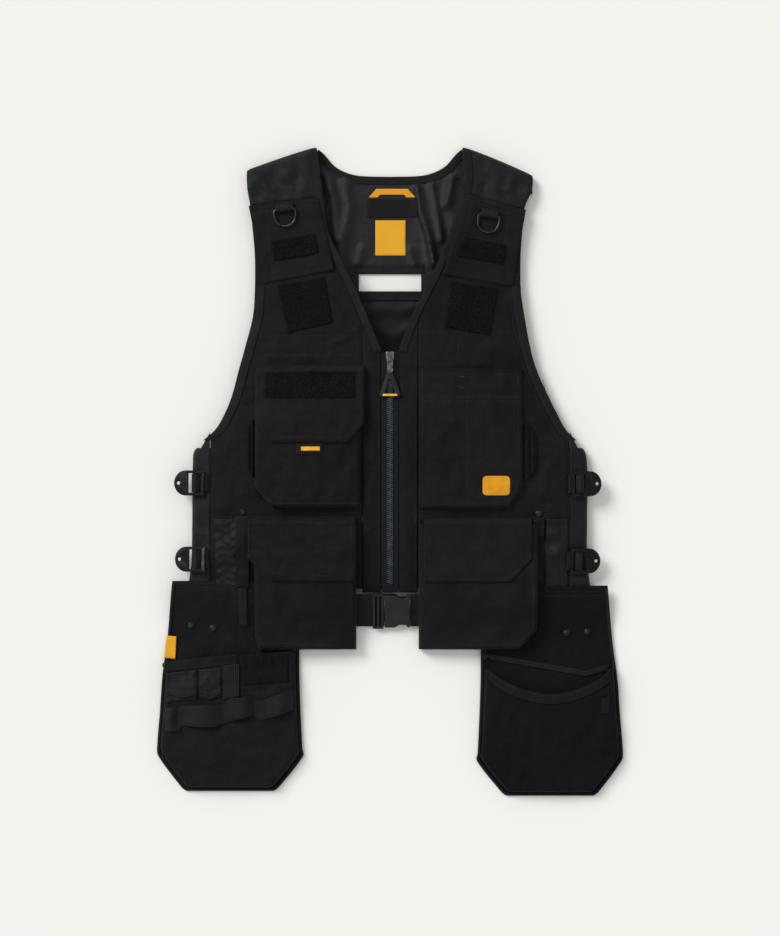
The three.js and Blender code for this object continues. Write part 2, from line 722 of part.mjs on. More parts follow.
// Flap: sewn on the front at its top edge, then over the pocket
function flap(shape, pocket, side, surface) {
  const top = topY - shape.top;
  const bottom = top - shape.height;
  const place = (u, v) => {
    const y = v <= 1 ? mix(top, top - flapSeam, v) : mix(top - flapSeam, bottom, v - 1);
    const [inner, outer] = pocketEdges(shape, y);
    return [side * mix(inner, outer, u), y];
  };
  const rows = [0, 0.5, ...steps(6).map((share) => 1 + share)];
  return wallBetween(steps(6), rows, place, flapHeight(shape, pocket, surface), flapWall);
}

function flapHeight(shape, pocket, surface) {
  const top = topY - shape.top;
  return (x, y) => {
    const over = surface(x, y) + pocketDepth(pocket, x, y) + 2 * gap;
    return mix(onFront(x, y) + looseGap - gap, over, smooth(clamp((top - y) / flapSeam)));
  };
}

add('chest_pouch_left', 'canvas', pocketTray(chestLeft, -1, onFront));
add('chest_flap_left', 'canvas', flap(chestFlap, chestLeft, -1, onFront));
add('chest_pouch_right', 'canvas', pocketTray(chestRight, 1, onFront));

function flapPatch() {
  const top = topY - chestFlap.top - patchDrop;
  const overFlap = flapHeight(chestFlap, chestLeft, onFront);
  const near = chestFlap.inner + patchInset;
  const far = chestFlap.inner + chestFlap.width - patchInset;
  const place = (u, v) => [-mix(near, far, u), top - patchHeight * v];
  return wallBetween(steps(5), steps(2), place, (x, y) => overFlap(x, y) + flapWall + gap, patchWall);
}
add('flap_loop_patch', 'loop', flapPatch());

const chestTab = { middle: -111.6, width: 36.5, length: 15 };
function chestTabWall() {
  const top = topY - chestFlap.top - chestFlap.height - gap;
  const place = (u, v) => [chestTab.middle + chestTab.width * (u - 0.5), top - chestTab.length * v];
  const onPouch = (x, y) => onFront(x, y) + pocketDepth(chestLeft, x, y) + gap;
  return wallBetween(steps(2), steps(1), place, onPouch, webbing);
}
add('chest_tab_left', 'webbing', chestTabWall());

// Lower pouches hang from the waist, each with a back wall of its own
const onLower = (x, y) => lowerHeight(x, y) + cloth + looseGap;
function pouchBack(pocket, side) {
  const top = topY - pocket.top;
  const place = (u, v) => {
    const y = mix(top, top - pocket.height, v);
    const [inner, outer] = pocketEdges(pocket, y);
    return [side * mix(inner, outer, u), y];
  };
  return wallBetween(steps(4), steps(16), place, lowerHeight, cloth);
}
for (const [word, side, pocket, shape] of [
  ['left', -1, lowerLeft, lowerFlapLeft],
  ['right', 1, lowerRight, lowerFlapRight],
]) {
  add(`lower_pouch_back_${word}`, 'canvas', pouchBack(pocket, side));
  add(`lower_pouch_${word}`, 'canvas', pocketTray(pocket, side, onLower));
  add(`lower_flap_${word}`, 'canvas', flap(shape, pocket, side, onLower));
}

// Holsters
const shiftOf = (side) => (side < 0 ? 0 : holsterShift);
function holsterEdges(side, y) {
  const down = clamp((holsterTop - shiftOf(side) - y) / holsterLength);
  const outer = holsterCentre + holsterHalfWidth * along(holsterSections, down, 'down', 'outer');
  const inner = holsterCentre - holsterHalfWidth * along(holsterSections, down, 'down', 'inner');
  return [inner, outer];
}

function holsterBack(side) {
  const top = holsterTop - shiftOf(side);
  const place = (u, v) => {
    const y = top - holsterLength * v;
    const [inner, outer] = holsterEdges(side, y);
    return [side * mix(inner, outer, u), y];
  };
  const turned = steps(7).map((share) => (share * (holsterReach + holsterTuck)) / holsterLength);
  const down = [...turned, 0.4, 0.52, 0.64, 0.75, 0.835, 0.91, 0.985, 1];
  return wallBetween(steps(5), down, place, holsterHeight, cloth);
}

const onHolster = (x, y) => holsterHeight(x, y) + cloth + gap;

function holsterTray(side, mouth, depth) {
  const bottom = holsterTop - shiftOf(side) - holsterLength + holsterInset;
  return tray({
    side,
    mouth,
    depth,
    surface: onHolster,
    edges: (y) => {
      const [inner, outer] = holsterEdges(side, y - holsterInset);
      return [inner + holsterInset, outer - holsterInset];
    },
    bottom: () => bottom,
    columns: 7,
    rows: 8,
  });
}

const holsterReachAt = (x) => Math.min(1, ((Math.abs(x) - holsterCentre) / holsterHalfWidth) ** 2);
const leftHolsterDepth = (x) => holsterPouchDepth * (1 - 0.25 * holsterReachAt(x));
const leftMouth = (share) => holsterTop - mix(holsterPouchInnerTop, holsterPouchTop, share);
const rightMouth = (share) => holsterTop - holsterShift - bagTop - bagSag * Math.sin(Math.PI * share) ** 0.8;
function bagDepthAt(x, y) {
  const low = clamp((holsterTop - holsterShift - bagTop - y) / (holsterLength - bagTop));
  return bagDepth * (1 - 0.35 * holsterReachAt(x)) * (1 - 0.25 * low);
}

// Tool loops: one band of webbing sewn down between its loops, across the left holster's pouch
function toolLoops() {
  const place = (u, v) => {
    const y = holsterTop - loopDown - loopSlant * (u - 0.5) - loopWidth * (v - 0.5);
    const [inner, outer] = holsterEdges(-1, y - holsterInset);
    return [-mix(inner + 2 * holsterInset, outer - 2 * holsterInset, u), y];
  };
  const onPouch = (x, y) => onHolster(x, y) + leftHolsterDepth(x) + gap;
  const lift = (u) => loopRise * Math.sin(Math.PI * loopCount * u) ** 2;
  const surface = (wall) => (u, v) => {
    const [x, y] = place(u, v);
    return [x, y, onPouch(x, y) + lift(u) + wall];
  };
  return shell(steps(loopCount * 6), steps(1), surface(webbing), surface(0));
}

for (const [word, side] of [['left', -1], ['right', 1]]) {
  add(`holster_back_${word}`, 'canvas', holsterBack(side));
}
add('holster_pouch_left', 'canvas', holsterTray(-1, leftMouth, leftHolsterDepth));
add('holster_bag_right', 'canvas', holsterTray(1, rightMouth, bagDepthAt));
add('tool_loops', 'webbing', toolLoops());

const holsterTag = { width: 17, length: 33, down: 77 };
function holsterTagWall() {
  const top = holsterTop - holsterTag.down;
  const place = (u, v) => {
    const y = top - holsterTag.length * v;
    return [holsterTag.width * u - holsterEdges(-1, y)[1], y];
  };
  return wallBetween(steps(1), steps(3), place, onHolster, patchWall);
}
add('holster_tag', 'yellow', holsterTagWall());

// Labels sewn inside the back's neck
const onBack = () => cloth + gap;
const labelWall = 1;
const hanger = { bottomWidth: 65, topWidth: 44, top: 58, height: 12 };
const neckLabel = { middle: 2.8, width: 70, top: 72, height: 26 };
const sizeLabel = { middle: 0.5, width: 42, top: 102, height: 49 };

function labelWallOf(label) {
  const place = (u, v) => [label.middle + label.width * (u - 0.5), topY - label.top - label.height * v];
  return wallBetween(steps(1), steps(1), place, onBack, labelWall);
}

// Hanger: webbing down both sides of a low arch, with a bar across its top
function hangerLoop() {
  const across = (v) => mix(hanger.topWidth, hanger.bottomWidth, v);
  const place = (u, v) => [neckLabel.middle + across(v) * (u - 0.5), topY - hanger.top - hanger.height * v];
  const opening = (u, v) => u > 0.2 && u < 0.8 && v > 0.5;
  return wallBetween([0, 0.2, 0.8, 1], steps(2), place, onBack, labelWall, opening);
}
add('hanger_loop', 'yellow', hangerLoop());
add('neck_label', 'webbing', labelWallOf(neckLabel));
add('size_label', 'yellow', labelWallOf(sizeLabel));

// Zip slider: a plate on the chain with a bail over it, for the pull's tab to hang on
const library = await Module();
library.setup();

function solid(geometry) {
  const loose = geometry.index ? geometry.toNonIndexed() : geometry;
  const plain = new THREE.BufferGeometry();
  plain.setAttribute('position', loose.getAttribute('position').clone());
  const merged = mergeVertices(plain, 1e-4);
  const vertProperties = new Float32Array(merged.getAttribute('position').array);
  const triVerts = new Uint32Array(merged.index.array);
  return new library.Manifold(new library.Mesh({ numProp: 3, vertProperties, triVerts }));
}

function join(first, second) {
  const mesh = solid(first).add(solid(second)).getMesh();
  const geometry = new THREE.BufferGeometry();
  geometry.setAttribute('position', new THREE.Float32BufferAttribute(mesh.vertProperties, 3));
  geometry.setIndex(Array.from(mesh.triVerts));
  return geometry.toNonIndexed();
}

const onChain = (x, y) => frontHeight(x, y) + tapeWall + chainRise + gap;
const bailInside = bailHeight - bailWall;
const hingeLift = sliderPlate + bailInside / 2;
const sliderY = zipTop - sliderLength / 2;

function zipSlider() {
  const wide = sliderWidth / 2;
  const plateShape = outline([
    [-wide * 0.7, -sliderLength / 2],
    [wide * 0.7, -sliderLength / 2],
    [wide, 0],
    [wide, sliderLength / 2],
    [-wide, sliderLength / 2],
    [-wide, 0],
  ]);
  const plate = extrude(plateShape, sliderPlate);
  plate.translate(0, 0, -hingeLift);
  const half = bailLength / 2;
  const low = -hingeLift + sliderPlate / 2;
  const high = bailInside / 2 + bailWall;
  const arch = outline([[-half, low], [half, low], [half, high - bailWall], [half - bailWall, high],
    [bailWall - half, high], [-half, high - bailWall]]);
  arch.holes.push(hole(rectangle(bailWall - half, -bailInside / 2, half - bailWall, bailInside / 2)));
  const bail = extrude(arch, bailWidth);
  bail.translate(0, 0, -bailWidth / 2);
  return join(plate, bail.applyMatrix4(sideways));
}

function zipTab() {
  const half = tabWidth / 2;
  const bar = 1.2;
  const shape = outline([
    [-half + 1, bar],
    [-half, bar - 1],
    [-half, 2 - tabLength],
    [2 - half, -tabLength],
    [half - 2, -tabLength],
    [half, 2 - tabLength],
    [half, bar - 1],
    [half - 1, bar],
  ]);
  const slot = bailWidth / 2 + fixedClearance;
  shape.holes.push(hole(rectangle(-slot, -tabSlotLength, slot, -bar * 0.8)));
  const geometry = extrude(shape, tabWall);
  geometry.translate(0, 0, -tabWall / 2);
  return geometry;
}

// Pull: a triangular frame under the tab's end
function zipPull() {
  const top = 3 - tabLength;
  const bottom = top - pullHeight;
  const half = pullWidth / 2;
  const cut = 2.5;
  const shape = outline([[-cut, top], [-half, bottom + cut], [cut - half, bottom], [half - cut, bottom],
    [half, bottom + cut], [cut, top]]);
  const holeTop = top - pullHeight * 0.34;
  const holeHalf = half - pullRim * 1.7;
  shape.holes.push(hole([[-1, holeTop], [-holeHalf, bottom + pullRim], [holeHalf, bottom + pullRim], [1, holeTop]]));
  const geometry = extrude(shape, pullWall);
  geometry.translate(0, 0, -tabWall / 2 - runClearance - pullWall);
  return geometry;
}

const pullSeat = seat(onChain, 0, sliderY, 0, hingeLift);
add('zip_slider', 'steel', zipSlider(), pullSeat);
add('zip_tab', 'steel', zipTab(), pullSeat);
add('zip_pull', 'plastic', zipPull(), pullSeat);

// Side adjusters: a frame with two slots and a round end outwards, held by webbing round its middle bar
const adjusters = [
  { name: 'left_upper', side: -1, across: 0.9365, down: 0.761 },
  { name: 'left_lower', side: -1, across: 0.9325, down: 0.933 },
  { name: 'right_upper', side: 1, across: 0.914, down: 0.763 },
  { name: 'right_lower', side: 1, across: 0.909, down: 0.936 },
];

const frameSlot = (frameLength - 3 * frameBar) / 2;
const frameEndSteps = 12;
function sideFrame() {
  const half = frameWidth / 2;
  const top = frameSlot + frameBar * 1.5;
  const bottom = top - frameLength;
  const round = Array.from({ length: frameEndSteps + 1 }, (_, i) => {
    const angle = -(Math.PI * i) / frameEndSteps;
    return [half * Math.cos(angle), bottom + frameEnd * Math.sin(angle)];
  });
  const eye = Array.from({ length: 8 }, (_, i) => {
    const angle = (Math.PI * i) / 4;
    const middle = bottom - frameEnd * 0.62;
    return [(frameEndHole / 2) * Math.cos(angle), middle + (frameEndHole / 2) * Math.sin(angle)];
  });
  const shape = outline([[-half, top], [half, top], ...round]);
  const inside = half - frameBar;
  const near = frameBar / 2;
  shape.holes.push(hole(rectangle(-inside, near, inside, near + frameSlot)));
  shape.holes.push(hole(rectangle(-inside, -near - frameSlot, inside, -near)));
  shape.holes.push(hole(eye));
  const geometry = extrude(shape, frameWall);
  geometry.translate(0, 0, -frameWall / 2);
  return geometry;
}

const barAcross = Math.hypot(frameBar, frameWall);
for (const { name, side, across, down } of adjusters) {
  const lift = loopOuter(barAcross, fixedClearance);
  const x = side * (across * bodyHalfWidth + frameSlot + frameBar * 1.5);
  const y = topY - down * vestLength;
  const sewn = (u, v) => [x - side * sideWebTail * (1 - u / 2), y + sideWebWidth * (v - 0.5)];
  const spot = seat(planeOn(onFront, sewn), x, y, side < 0 ? -90 : 90, lift);
  add(`side_buckle_${name}`, 'darkSteel', sideFrame(), spot);
  add(`side_webbing_${name}`, 'webbing', webLoop(sideWebWidth, barAcross, fixedClearance, sideWebTail), spot);
}

// Belt across the gap between the lower pouches, fastened
const beltY = hemY - beltDrop - beltWidth / 2;
const underPouch = (x, y) => lowerHeight(x, y) - gap - webbing;
const beltPlane = planeAt(underPouch, 0, beltY);
function beltHeight(x, y) {
  const tucked = smooth(clamp((Math.abs(x) - beltHalfGap) / beltStep + 1));
  return mix(beltPlane(x, y), underPouch(x, y), tucked);
}

const buckleEdge = (side) => buckleMiddle + (side * buckleLength) / 2;
function beltWeb(side) {
  const near = buckleEdge(side) + side * gap;
  const far = side * (beltHalfGap + beltTuck);
  const place = (u, v) => [mix(near, far, u), beltY + beltWidth * (0.5 - v)];
  return wallBetween(steps(6), steps(4), place, beltHeight, webbing);
}

function beltSlide() {
  const half = slideLength / 2;
  const tall = beltWidth / 2 + slideBar;
  const shape = outline(rectangle(-half, -tall, half, tall));
  const inside = half - slideBar;
  const open = tall - slideBar;
  shape.holes.push(hole(rectangle(-inside, -open, inside, open)));
  const bar = new THREE.BoxGeometry(slideBar, 2 * open + slideBar, slideWall * 0.8);
  bar.translate(0, 0, slideWall / 2);
  return join(extrude(shape, slideWall), bar);
}

function beltBuckle() {
  const half = buckleLength / 2;
  const tall = buckleWidth / 2;
  const waist = buckleWaist / 2;
  const shape = outline([[-half, -tall], [-half * 0.2, -tall], [half * 0.2, -waist], [half * 0.7, -waist],
    [half * 0.85, -tall], [half, -tall], [half, tall], [half * 0.85, tall], [half * 0.7, waist],
    [half * 0.2, waist], [-half * 0.2, tall], [-half, tall]]);
  return extrude(shape, buckleWall);
}

add('belt_webbing_left', 'webbing', beltWeb(-1));
add('belt_webbing_right', 'webbing', beltWeb(1));
const slideX = buckleEdge(-1) - gap - slideLength / 2 - 1;
add('belt_slide', 'plastic', beltSlide(), seat(beltPlane, slideX, beltY, 0, webbing + gap));
add('belt_buckle', 'plastic', beltBuckle(), seat(beltPlane, buckleMiddle, beltY, 0, -buckleWall * 0.3));

export default vest;
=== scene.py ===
# Utility work vest lying flat on its back, dressed over its frame
import math
import bmesh
import bpy
import numpy as np
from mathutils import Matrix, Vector


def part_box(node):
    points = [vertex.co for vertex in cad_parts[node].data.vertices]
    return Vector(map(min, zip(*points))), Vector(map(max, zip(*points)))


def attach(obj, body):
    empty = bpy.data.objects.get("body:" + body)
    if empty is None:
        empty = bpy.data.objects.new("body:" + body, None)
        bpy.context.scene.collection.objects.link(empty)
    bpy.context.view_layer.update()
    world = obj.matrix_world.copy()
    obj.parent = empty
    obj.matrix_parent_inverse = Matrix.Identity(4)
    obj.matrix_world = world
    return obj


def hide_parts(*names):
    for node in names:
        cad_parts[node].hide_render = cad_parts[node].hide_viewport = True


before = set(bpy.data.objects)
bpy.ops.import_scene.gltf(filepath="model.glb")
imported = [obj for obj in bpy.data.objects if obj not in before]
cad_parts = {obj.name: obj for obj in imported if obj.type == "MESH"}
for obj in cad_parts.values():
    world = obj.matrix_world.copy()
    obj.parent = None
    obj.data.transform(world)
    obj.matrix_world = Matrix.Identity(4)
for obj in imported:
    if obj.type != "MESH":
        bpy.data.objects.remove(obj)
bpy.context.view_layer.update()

# Whole vest, in millimetres
vest = {
    "length": 616, "half": 275, "depth": 30, "cloth": 2, "gap": 0.5, "loose": 0.9,
    "neckHalf": 100, "neckDrop": 41, "yoke": 212, "slotWide": 87, "slotHigh": 24, "slotBand": 11,
    "foldTurn": 26, "dropLeft": 34, "dropRight": 42, "sideSeam": 250, "sideRise": 22,
    "binding": 11, "bindingWall": 1.2, "placket": 39, "placketExtra": 0.6, "tail": 5, "zipWide": 24,
    "zipDown": 0.466, "strapRun": 22, "strapOff": 4, "flapSeam": 7, "flapWall": 2.4,
    "holsterLong": 294, "holsterHalf": 102, "holsterMiddle": 223.4, "holsterTuck": 11, "holsterShift": 6.6,
    "holsterReach": 70, "holsterInset": 5, "pouchRun": 22, "pouchStart": 28, "sag": 0.85,
}
cloth, gap, loose = vest["cloth"], vest["gap"], vest["loose"]
overall = vest["length"] - vest["holsterTuck"] + vest["holsterLong"] + vest["holsterShift"]
topY = overall / 2
hemY = topY - vest["length"]
holsterTop = hemY + vest["holsterTuck"]
zipTop = topY - vest["length"] * vest["zipDown"]


def asTable(names, rows):
    return dict(zip(names.split(), np.array(rows, float).T))


sections = asTable("at outerLeft outerRight neckLeft neckRight crown edge", [
    (0.000, 0.740, 0.740, 0.370, 0.365, 0.44, 0.40), (0.065, 0.727, 0.725, 0.352, 0.378, 0.47, 0.40),
    (0.131, 0.709, 0.684, 0.335, 0.350, 0.54, 0.40), (0.191, 0.695, 0.670, 0.316, 0.303, 0.66, 0.38),
    (0.255, 0.684, 0.661, 0.247, 0.249, 0.78, 0.37), (0.328, 0.685, 0.663, 0.168, 0.171, 0.88, 0.37),
    (0.386, 0.695, 0.682, 0.115, 0.107, 0.95, 0.38), (0.460, 0.737, 0.713, 0.045, 0.043, 1.00, 0.40),
    (0.508, 0.767, 0.745, 0, 0, 1.02, 0.40), (0.563, 0.800, 0.800, 0, 0, 1.03, 0.41),
    (0.601, 0.833, 0.842, 0, 0, 1.02, 0.42), (0.641, 0.886, 0.891, 0, 0, 1.00, 0.43),
    (0.682, 0.985, 0.980, 0, 0, 0.97, 0.44), (0.719, 1.000, 1.000, 0, 0, 0.94, 0.44),
    (0.845, 1.003, 1.000, 0, 0, 0.84, 0.43), (0.940, 1.008, 1.000, 0, 0, 0.62, 0.38),
    (1.000, 1.025, 1.018, 0, 0, 0.46, 0.36),
])
folds = [  # across, down, turn, long, wide, high
    (-0.50, 0.463, -14, 0.24, 0.050, 0.08), (0.52, 0.466, 16, 0.24, 0.050, 0.08),
    (-0.86, 0.800, 20, 0.20, 0.060, 0.12), (0.84, 0.790, -35, 0.22, 0.060, 0.12),
    (-0.84, 0.915, 35, 0.20, 0.055, 0.13), (0.84, 0.920, 30, 0.20, 0.055, 0.10),
]
neckline = asTable("at rise", [(0, 0), (0.41, 0.03), (0.60, 0.14), (0.78, 0.39), (0.92, 0.80), (1, 0.98)])
holsterRows = asTable("at outer inner", [
    (0, 0.78, 0.90), (0.28, 0.86, 0.945), (0.45, 0.925, 0.95), (0.62, 0.96, 0.965), (0.80, 1.00, 0.99),
    (0.835, 0.98, 1.00), (0.985, 0.66, 0.66), (1, 0.60, 0.60),
])


def smooth(share):
    return share * share * (3 - 2 * share)


def clamp(value):
    return np.clip(value, 0.0, 1.0)


def mix(a, b, share):
    return a + (b - a) * share


def along(rows, place, column):
    keys, values = rows["at"], rows[column]
    slope = np.gradient(values)
    slope[1:-1] = (values[2:] - values[:-2]) / (keys[2:] - keys[:-2])
    slope[0] = (values[1] - values[0]) / (keys[1] - keys[0])
    slope[-1] = (values[-1] - values[-2]) / (keys[-1] - keys[-2])
    i = np.clip(np.searchsorted(keys, place, side="right") - 1, 0, len(keys) - 2)
    step = keys[i + 1] - keys[i]
    t = clamp((place - keys[i]) / step)
    bend = (t**3 - 2 * t**2 + t) * slope[i] + (t**3 - t**2) * slope[i + 1]
    return mix(values[i], values[i + 1], smooth(t)) + bend * step


def downAt(y):
    return (topY - y) / vest["length"]


def edgeOf(name, side, y):
    down = downAt(y)
    left, right = along(sections, down, name + "Left"), along(sections, down, name + "Right")
    return vest["half"] * np.where(np.asarray(side) < 0, left, right)


# Soft waves of cloth: a few crossing ripples with a bend in each
def waves(x, y, pitch, seed, turn=None, spread=25.0):
    chance = np.random.default_rng(seed)
    total = 0
    for _ in range(6):
        angle = math.radians(chance.uniform(0, 180) if turn is None
                             else turn + chance.uniform(-spread, spread))
        long = pitch * chance.uniform(0.6, 1.7)
        first, second = chance.uniform(0, 2 * math.pi, 2)
        over = x * math.cos(angle) + y * math.sin(angle)
        side = y * math.cos(angle) - x * math.sin(angle)
        bend = 1.3 * np.sin(side * 2 * math.pi / (2.3 * long) + second)
        total = total + np.sin(over * 2 * math.pi / long + bend + first)
    return total / 3.2


# Distance from points to a set of page lines
def lineDistance(x, y, lines):
    nearest = np.full(np.shape(x), 1e9)
    for line in lines:
        for (ax, ay), (bx, by) in zip(line[:-1], line[1:]):
            dx, dy = bx - ax, by - ay
            t = clamp(((x - ax) * dx + (y - ay) * dy) / max(dx * dx + dy * dy, 1e-9))
            nearest = np.minimum(nearest, np.hypot(x - ax - t * dx, y - ay - t * dy))
    return nearest


# Places where hardware lies, so that the cloth stays calm under it: x, y, reach
calmPlaces = [
    (-147, 355, 26), (138, 346, 26), (-252, -16, 26), (-252, -122, 26),
    (250, -18, 26), (250, -124, 26), (10, -192, 60),
]


def calmAt(x, y):
    calm = smooth(clamp((np.abs(x) - 10) / 22))
    for px, py, reach in calmPlaces:
        calm = calm * smooth(clamp(np.hypot(x - px, y - py) / reach - 0.6))
    return calm


pixel = 1.4  # millimetres of the vest for each pixel of the photograph
middleX, middleY = 390, 471.5  # the vest's origin in the photograph's 780 x 936 frame


# A page place, in pixels, as millimetres on the vest
def onPage(points):
    return np.array([((x - middleX) * pixel, (middleY - y) * pixel) for x, y in points], float)


# Creases seen on the fronts: page line, width, height
creases = [
    ([(362, 326), (348, 338), (330, 347)], 5.0, 1.5), ([(270, 358), (300, 360), (330, 357)], 6.0, 1.0),
    ([(453, 423), (436, 440), (418, 459)], 5.0, 1.4), ([(478, 352), (487, 345), (497, 351)], 4.5, 1.3),
    ([(222, 455), (238, 470), (246, 500)], 6.0, 1.6), ([(560, 452), (546, 470), (540, 500)], 6.0, 1.6),
    ([(246, 400), (262, 392), (300, 362)], 6.0, 1.0), ([(540, 418), (526, 398), (500, 372)], 6.0, 1.0),
    ([(372, 400), (376, 430), (371, 470)], 4.5, 0.9), ([(406, 430), (402, 470), (408, 520)], 4.5, 0.9),
    ([(370, 530), (374, 560), (369, 590)], 4.5, 1.1), ([(405, 540), (409, 565), (404, 588)], 4.5, 1.0),
    ([(300, 300), (318, 322), (322, 350)], 6.0, 1.1), ([(440, 352), (446, 325), (462, 300)], 6.0, 1.0),
]


def ripple(x, y):
    low = smooth(clamp((80 - y) / 200))
    height = 1.05 * waves(x, y, 52, 3) + 0.45 * waves(x, y, 24, 8, 60, 40) + 0.55 * low * waves(x, y, 30, 5)
    for line, wide, high in creases:
        height = height + high * np.exp(-((lineDistance(x, y, [onPage(line)]) / wide) ** 2))
    sideways = smooth(clamp((np.abs(x) - 200) / 40)) * smooth(clamp((30 - y) / 60))
    return (height + 0.7 * sideways * waves(x, y, 26, 12, 60, 30)) * calmAt(x, y)


def frontHeight(x, y):
    x, y = np.broadcast_arrays(np.asarray(x, float), np.asarray(y, float))
    down = clamp(downAt(y))
    crown = vest["depth"] * along(sections, down, "crown")
    edge = vest["depth"] * along(sections, down, "edge")
    reach = np.minimum(np.abs(x) / edgeOf("outer", np.sign(x) + 0.5, topY - down * vest["length"]), 1.1)
    height = edge + (crown - edge) * (1 - reach**2)
    for across, place, turn, long, wide, high in folds:
        c, s = math.cos(math.radians(turn)), math.sin(math.radians(turn))
        dx, dy = x - across * vest["half"], y - (topY - place * vest["length"])
        far = (dx * c + dy * s) / (long * vest["half"])
        near = (dy * c - dx * s) / (wide * vest["half"])
        height = height + high * vest["depth"] * np.exp(-(far**2) - near**2)
    return height + ripple(x, y)


def holsterHeight(x, y):
    onHem = frontHeight(x, np.maximum(y, hemY)) + cloth + gap
    down = smooth(clamp((hemY - y) / vest["holsterReach"]))
    wavy = 0.9 * (1 + waves(x, y, 70, 17)) + 0.5 * (1 + waves(x, y, 34, 19, 20, 50))
    return onHem * (1 - down) + np.maximum(0, wavy) * down * smooth(clamp((y - holsterTop + 290) / 60))


def lowerHeight(x, y):
    over = smooth(clamp((holsterTop + vest["pouchStart"] - y) / vest["pouchRun"]))
    return mix(frontHeight(x, y), holsterHeight(x, y), over) + cloth + loose


def onFront(x, y):
    return frontHeight(x, y) + cloth + gap


def underStrap(x, y):
    reach = edgeOf("neck", np.sign(x), y) + vest["binding"] + vest["strapOff"] + vest["strapRun"] - np.abs(x)
    rise = vest["placketExtra"] + vest["bindingWall"] + loose
    return onFront(x, y) + rise * smooth(clamp(reach / vest["strapRun"]))


def onStrap(x, y):
    return underStrap(x, y) + cloth + gap


def onLower(x, y):
    return lowerHeight(x, y) + cloth + loose


def onHolster(x, y):
    return holsterHeight(x, y) + cloth + gap


def above(surface, rise):
    return lambda x, y: surface(x, y) + rise


# Camera, floor and light
studio = {
    "camera": (0, 4.9, 3090), "lens": 85, "floor": (0.83, 0.82, 0.79), "floorReach": 3.0,
    "world": 0.675, "key": 2.3, "keyFrom": (-2.6, 2.3, 2.5), "keySoft": 26,
}


def makeStudio():
    scene = bpy.context.scene
    eye = bpy.data.cameras.new("camera")
    eye.lens, eye.sensor_width, eye.sensor_fit = studio["lens"], 36, "AUTO"
    holder = bpy.data.objects.new("camera", eye)
    holder.location = [v / 1000 for v in studio["camera"]]
    scene.collection.objects.link(holder)
    scene.camera = holder
    bpy.ops.mesh.primitive_plane_add(size=2 * studio["floorReach"], location=(0, 0, -0.0006))
    floor = bpy.context.object
    floor.name = "floor"
    lamp = bpy.data.lights.new("key", "SUN")  # an even light, as from a large soft box far away
    lamp.energy, lamp.angle = studio["key"], math.radians(studio["keySoft"])
    key = bpy.data.objects.new("key", lamp)
    key.location = studio["keyFrom"]
    key.rotation_euler = Vector(studio["keyFrom"]).to_track_quat("Z", "Y").to_euler()
    scene.collection.objects.link(key)
    world = scene.world or bpy.data.worlds.new("studio")
    scene.world = world
    world.use_nodes = True
    scene.view_settings.view_transform = "Standard"
    back = world.node_tree.nodes.get("Background")
    back.inputs["Color"].default_value = (1.0, 0.995, 0.985, 1)
    back.inputs["Strength"].default_value = studio["world"]
    return floor


floor = makeStudio()
print("studio ready")


# Shader sums written as sums
class Number:
    def __init__(self, shader, socket):
        self.shader = shader
        self.socket = socket

    def sum(self, operation, other=None, flip=False):
        pair = [self] if other is None else [self, other]
        return self.shader.make("ShaderNodeMath", {"operation": operation}, pair[::-1] if flip else pair)

    def __add__(self, other):
        return self.sum("ADD", other)

    def __sub__(self, other):
        return self.sum("SUBTRACT", other)

    def __rsub__(self, other):
        return self.sum("SUBTRACT", other, True)

    def __mul__(self, other):
        return self.sum("MULTIPLY", other)

    __radd__ = __add__
    __rmul__ = __mul__

    def wave(self):
        return self.sum("SINE")

    def between(self, low, high):
        settings = {"interpolation_type": "SMOOTHSTEP"}
        return self.shader.make("ShaderNodeMapRange", settings,
                                {"Value": self, "From Min": low, "From Max": high})


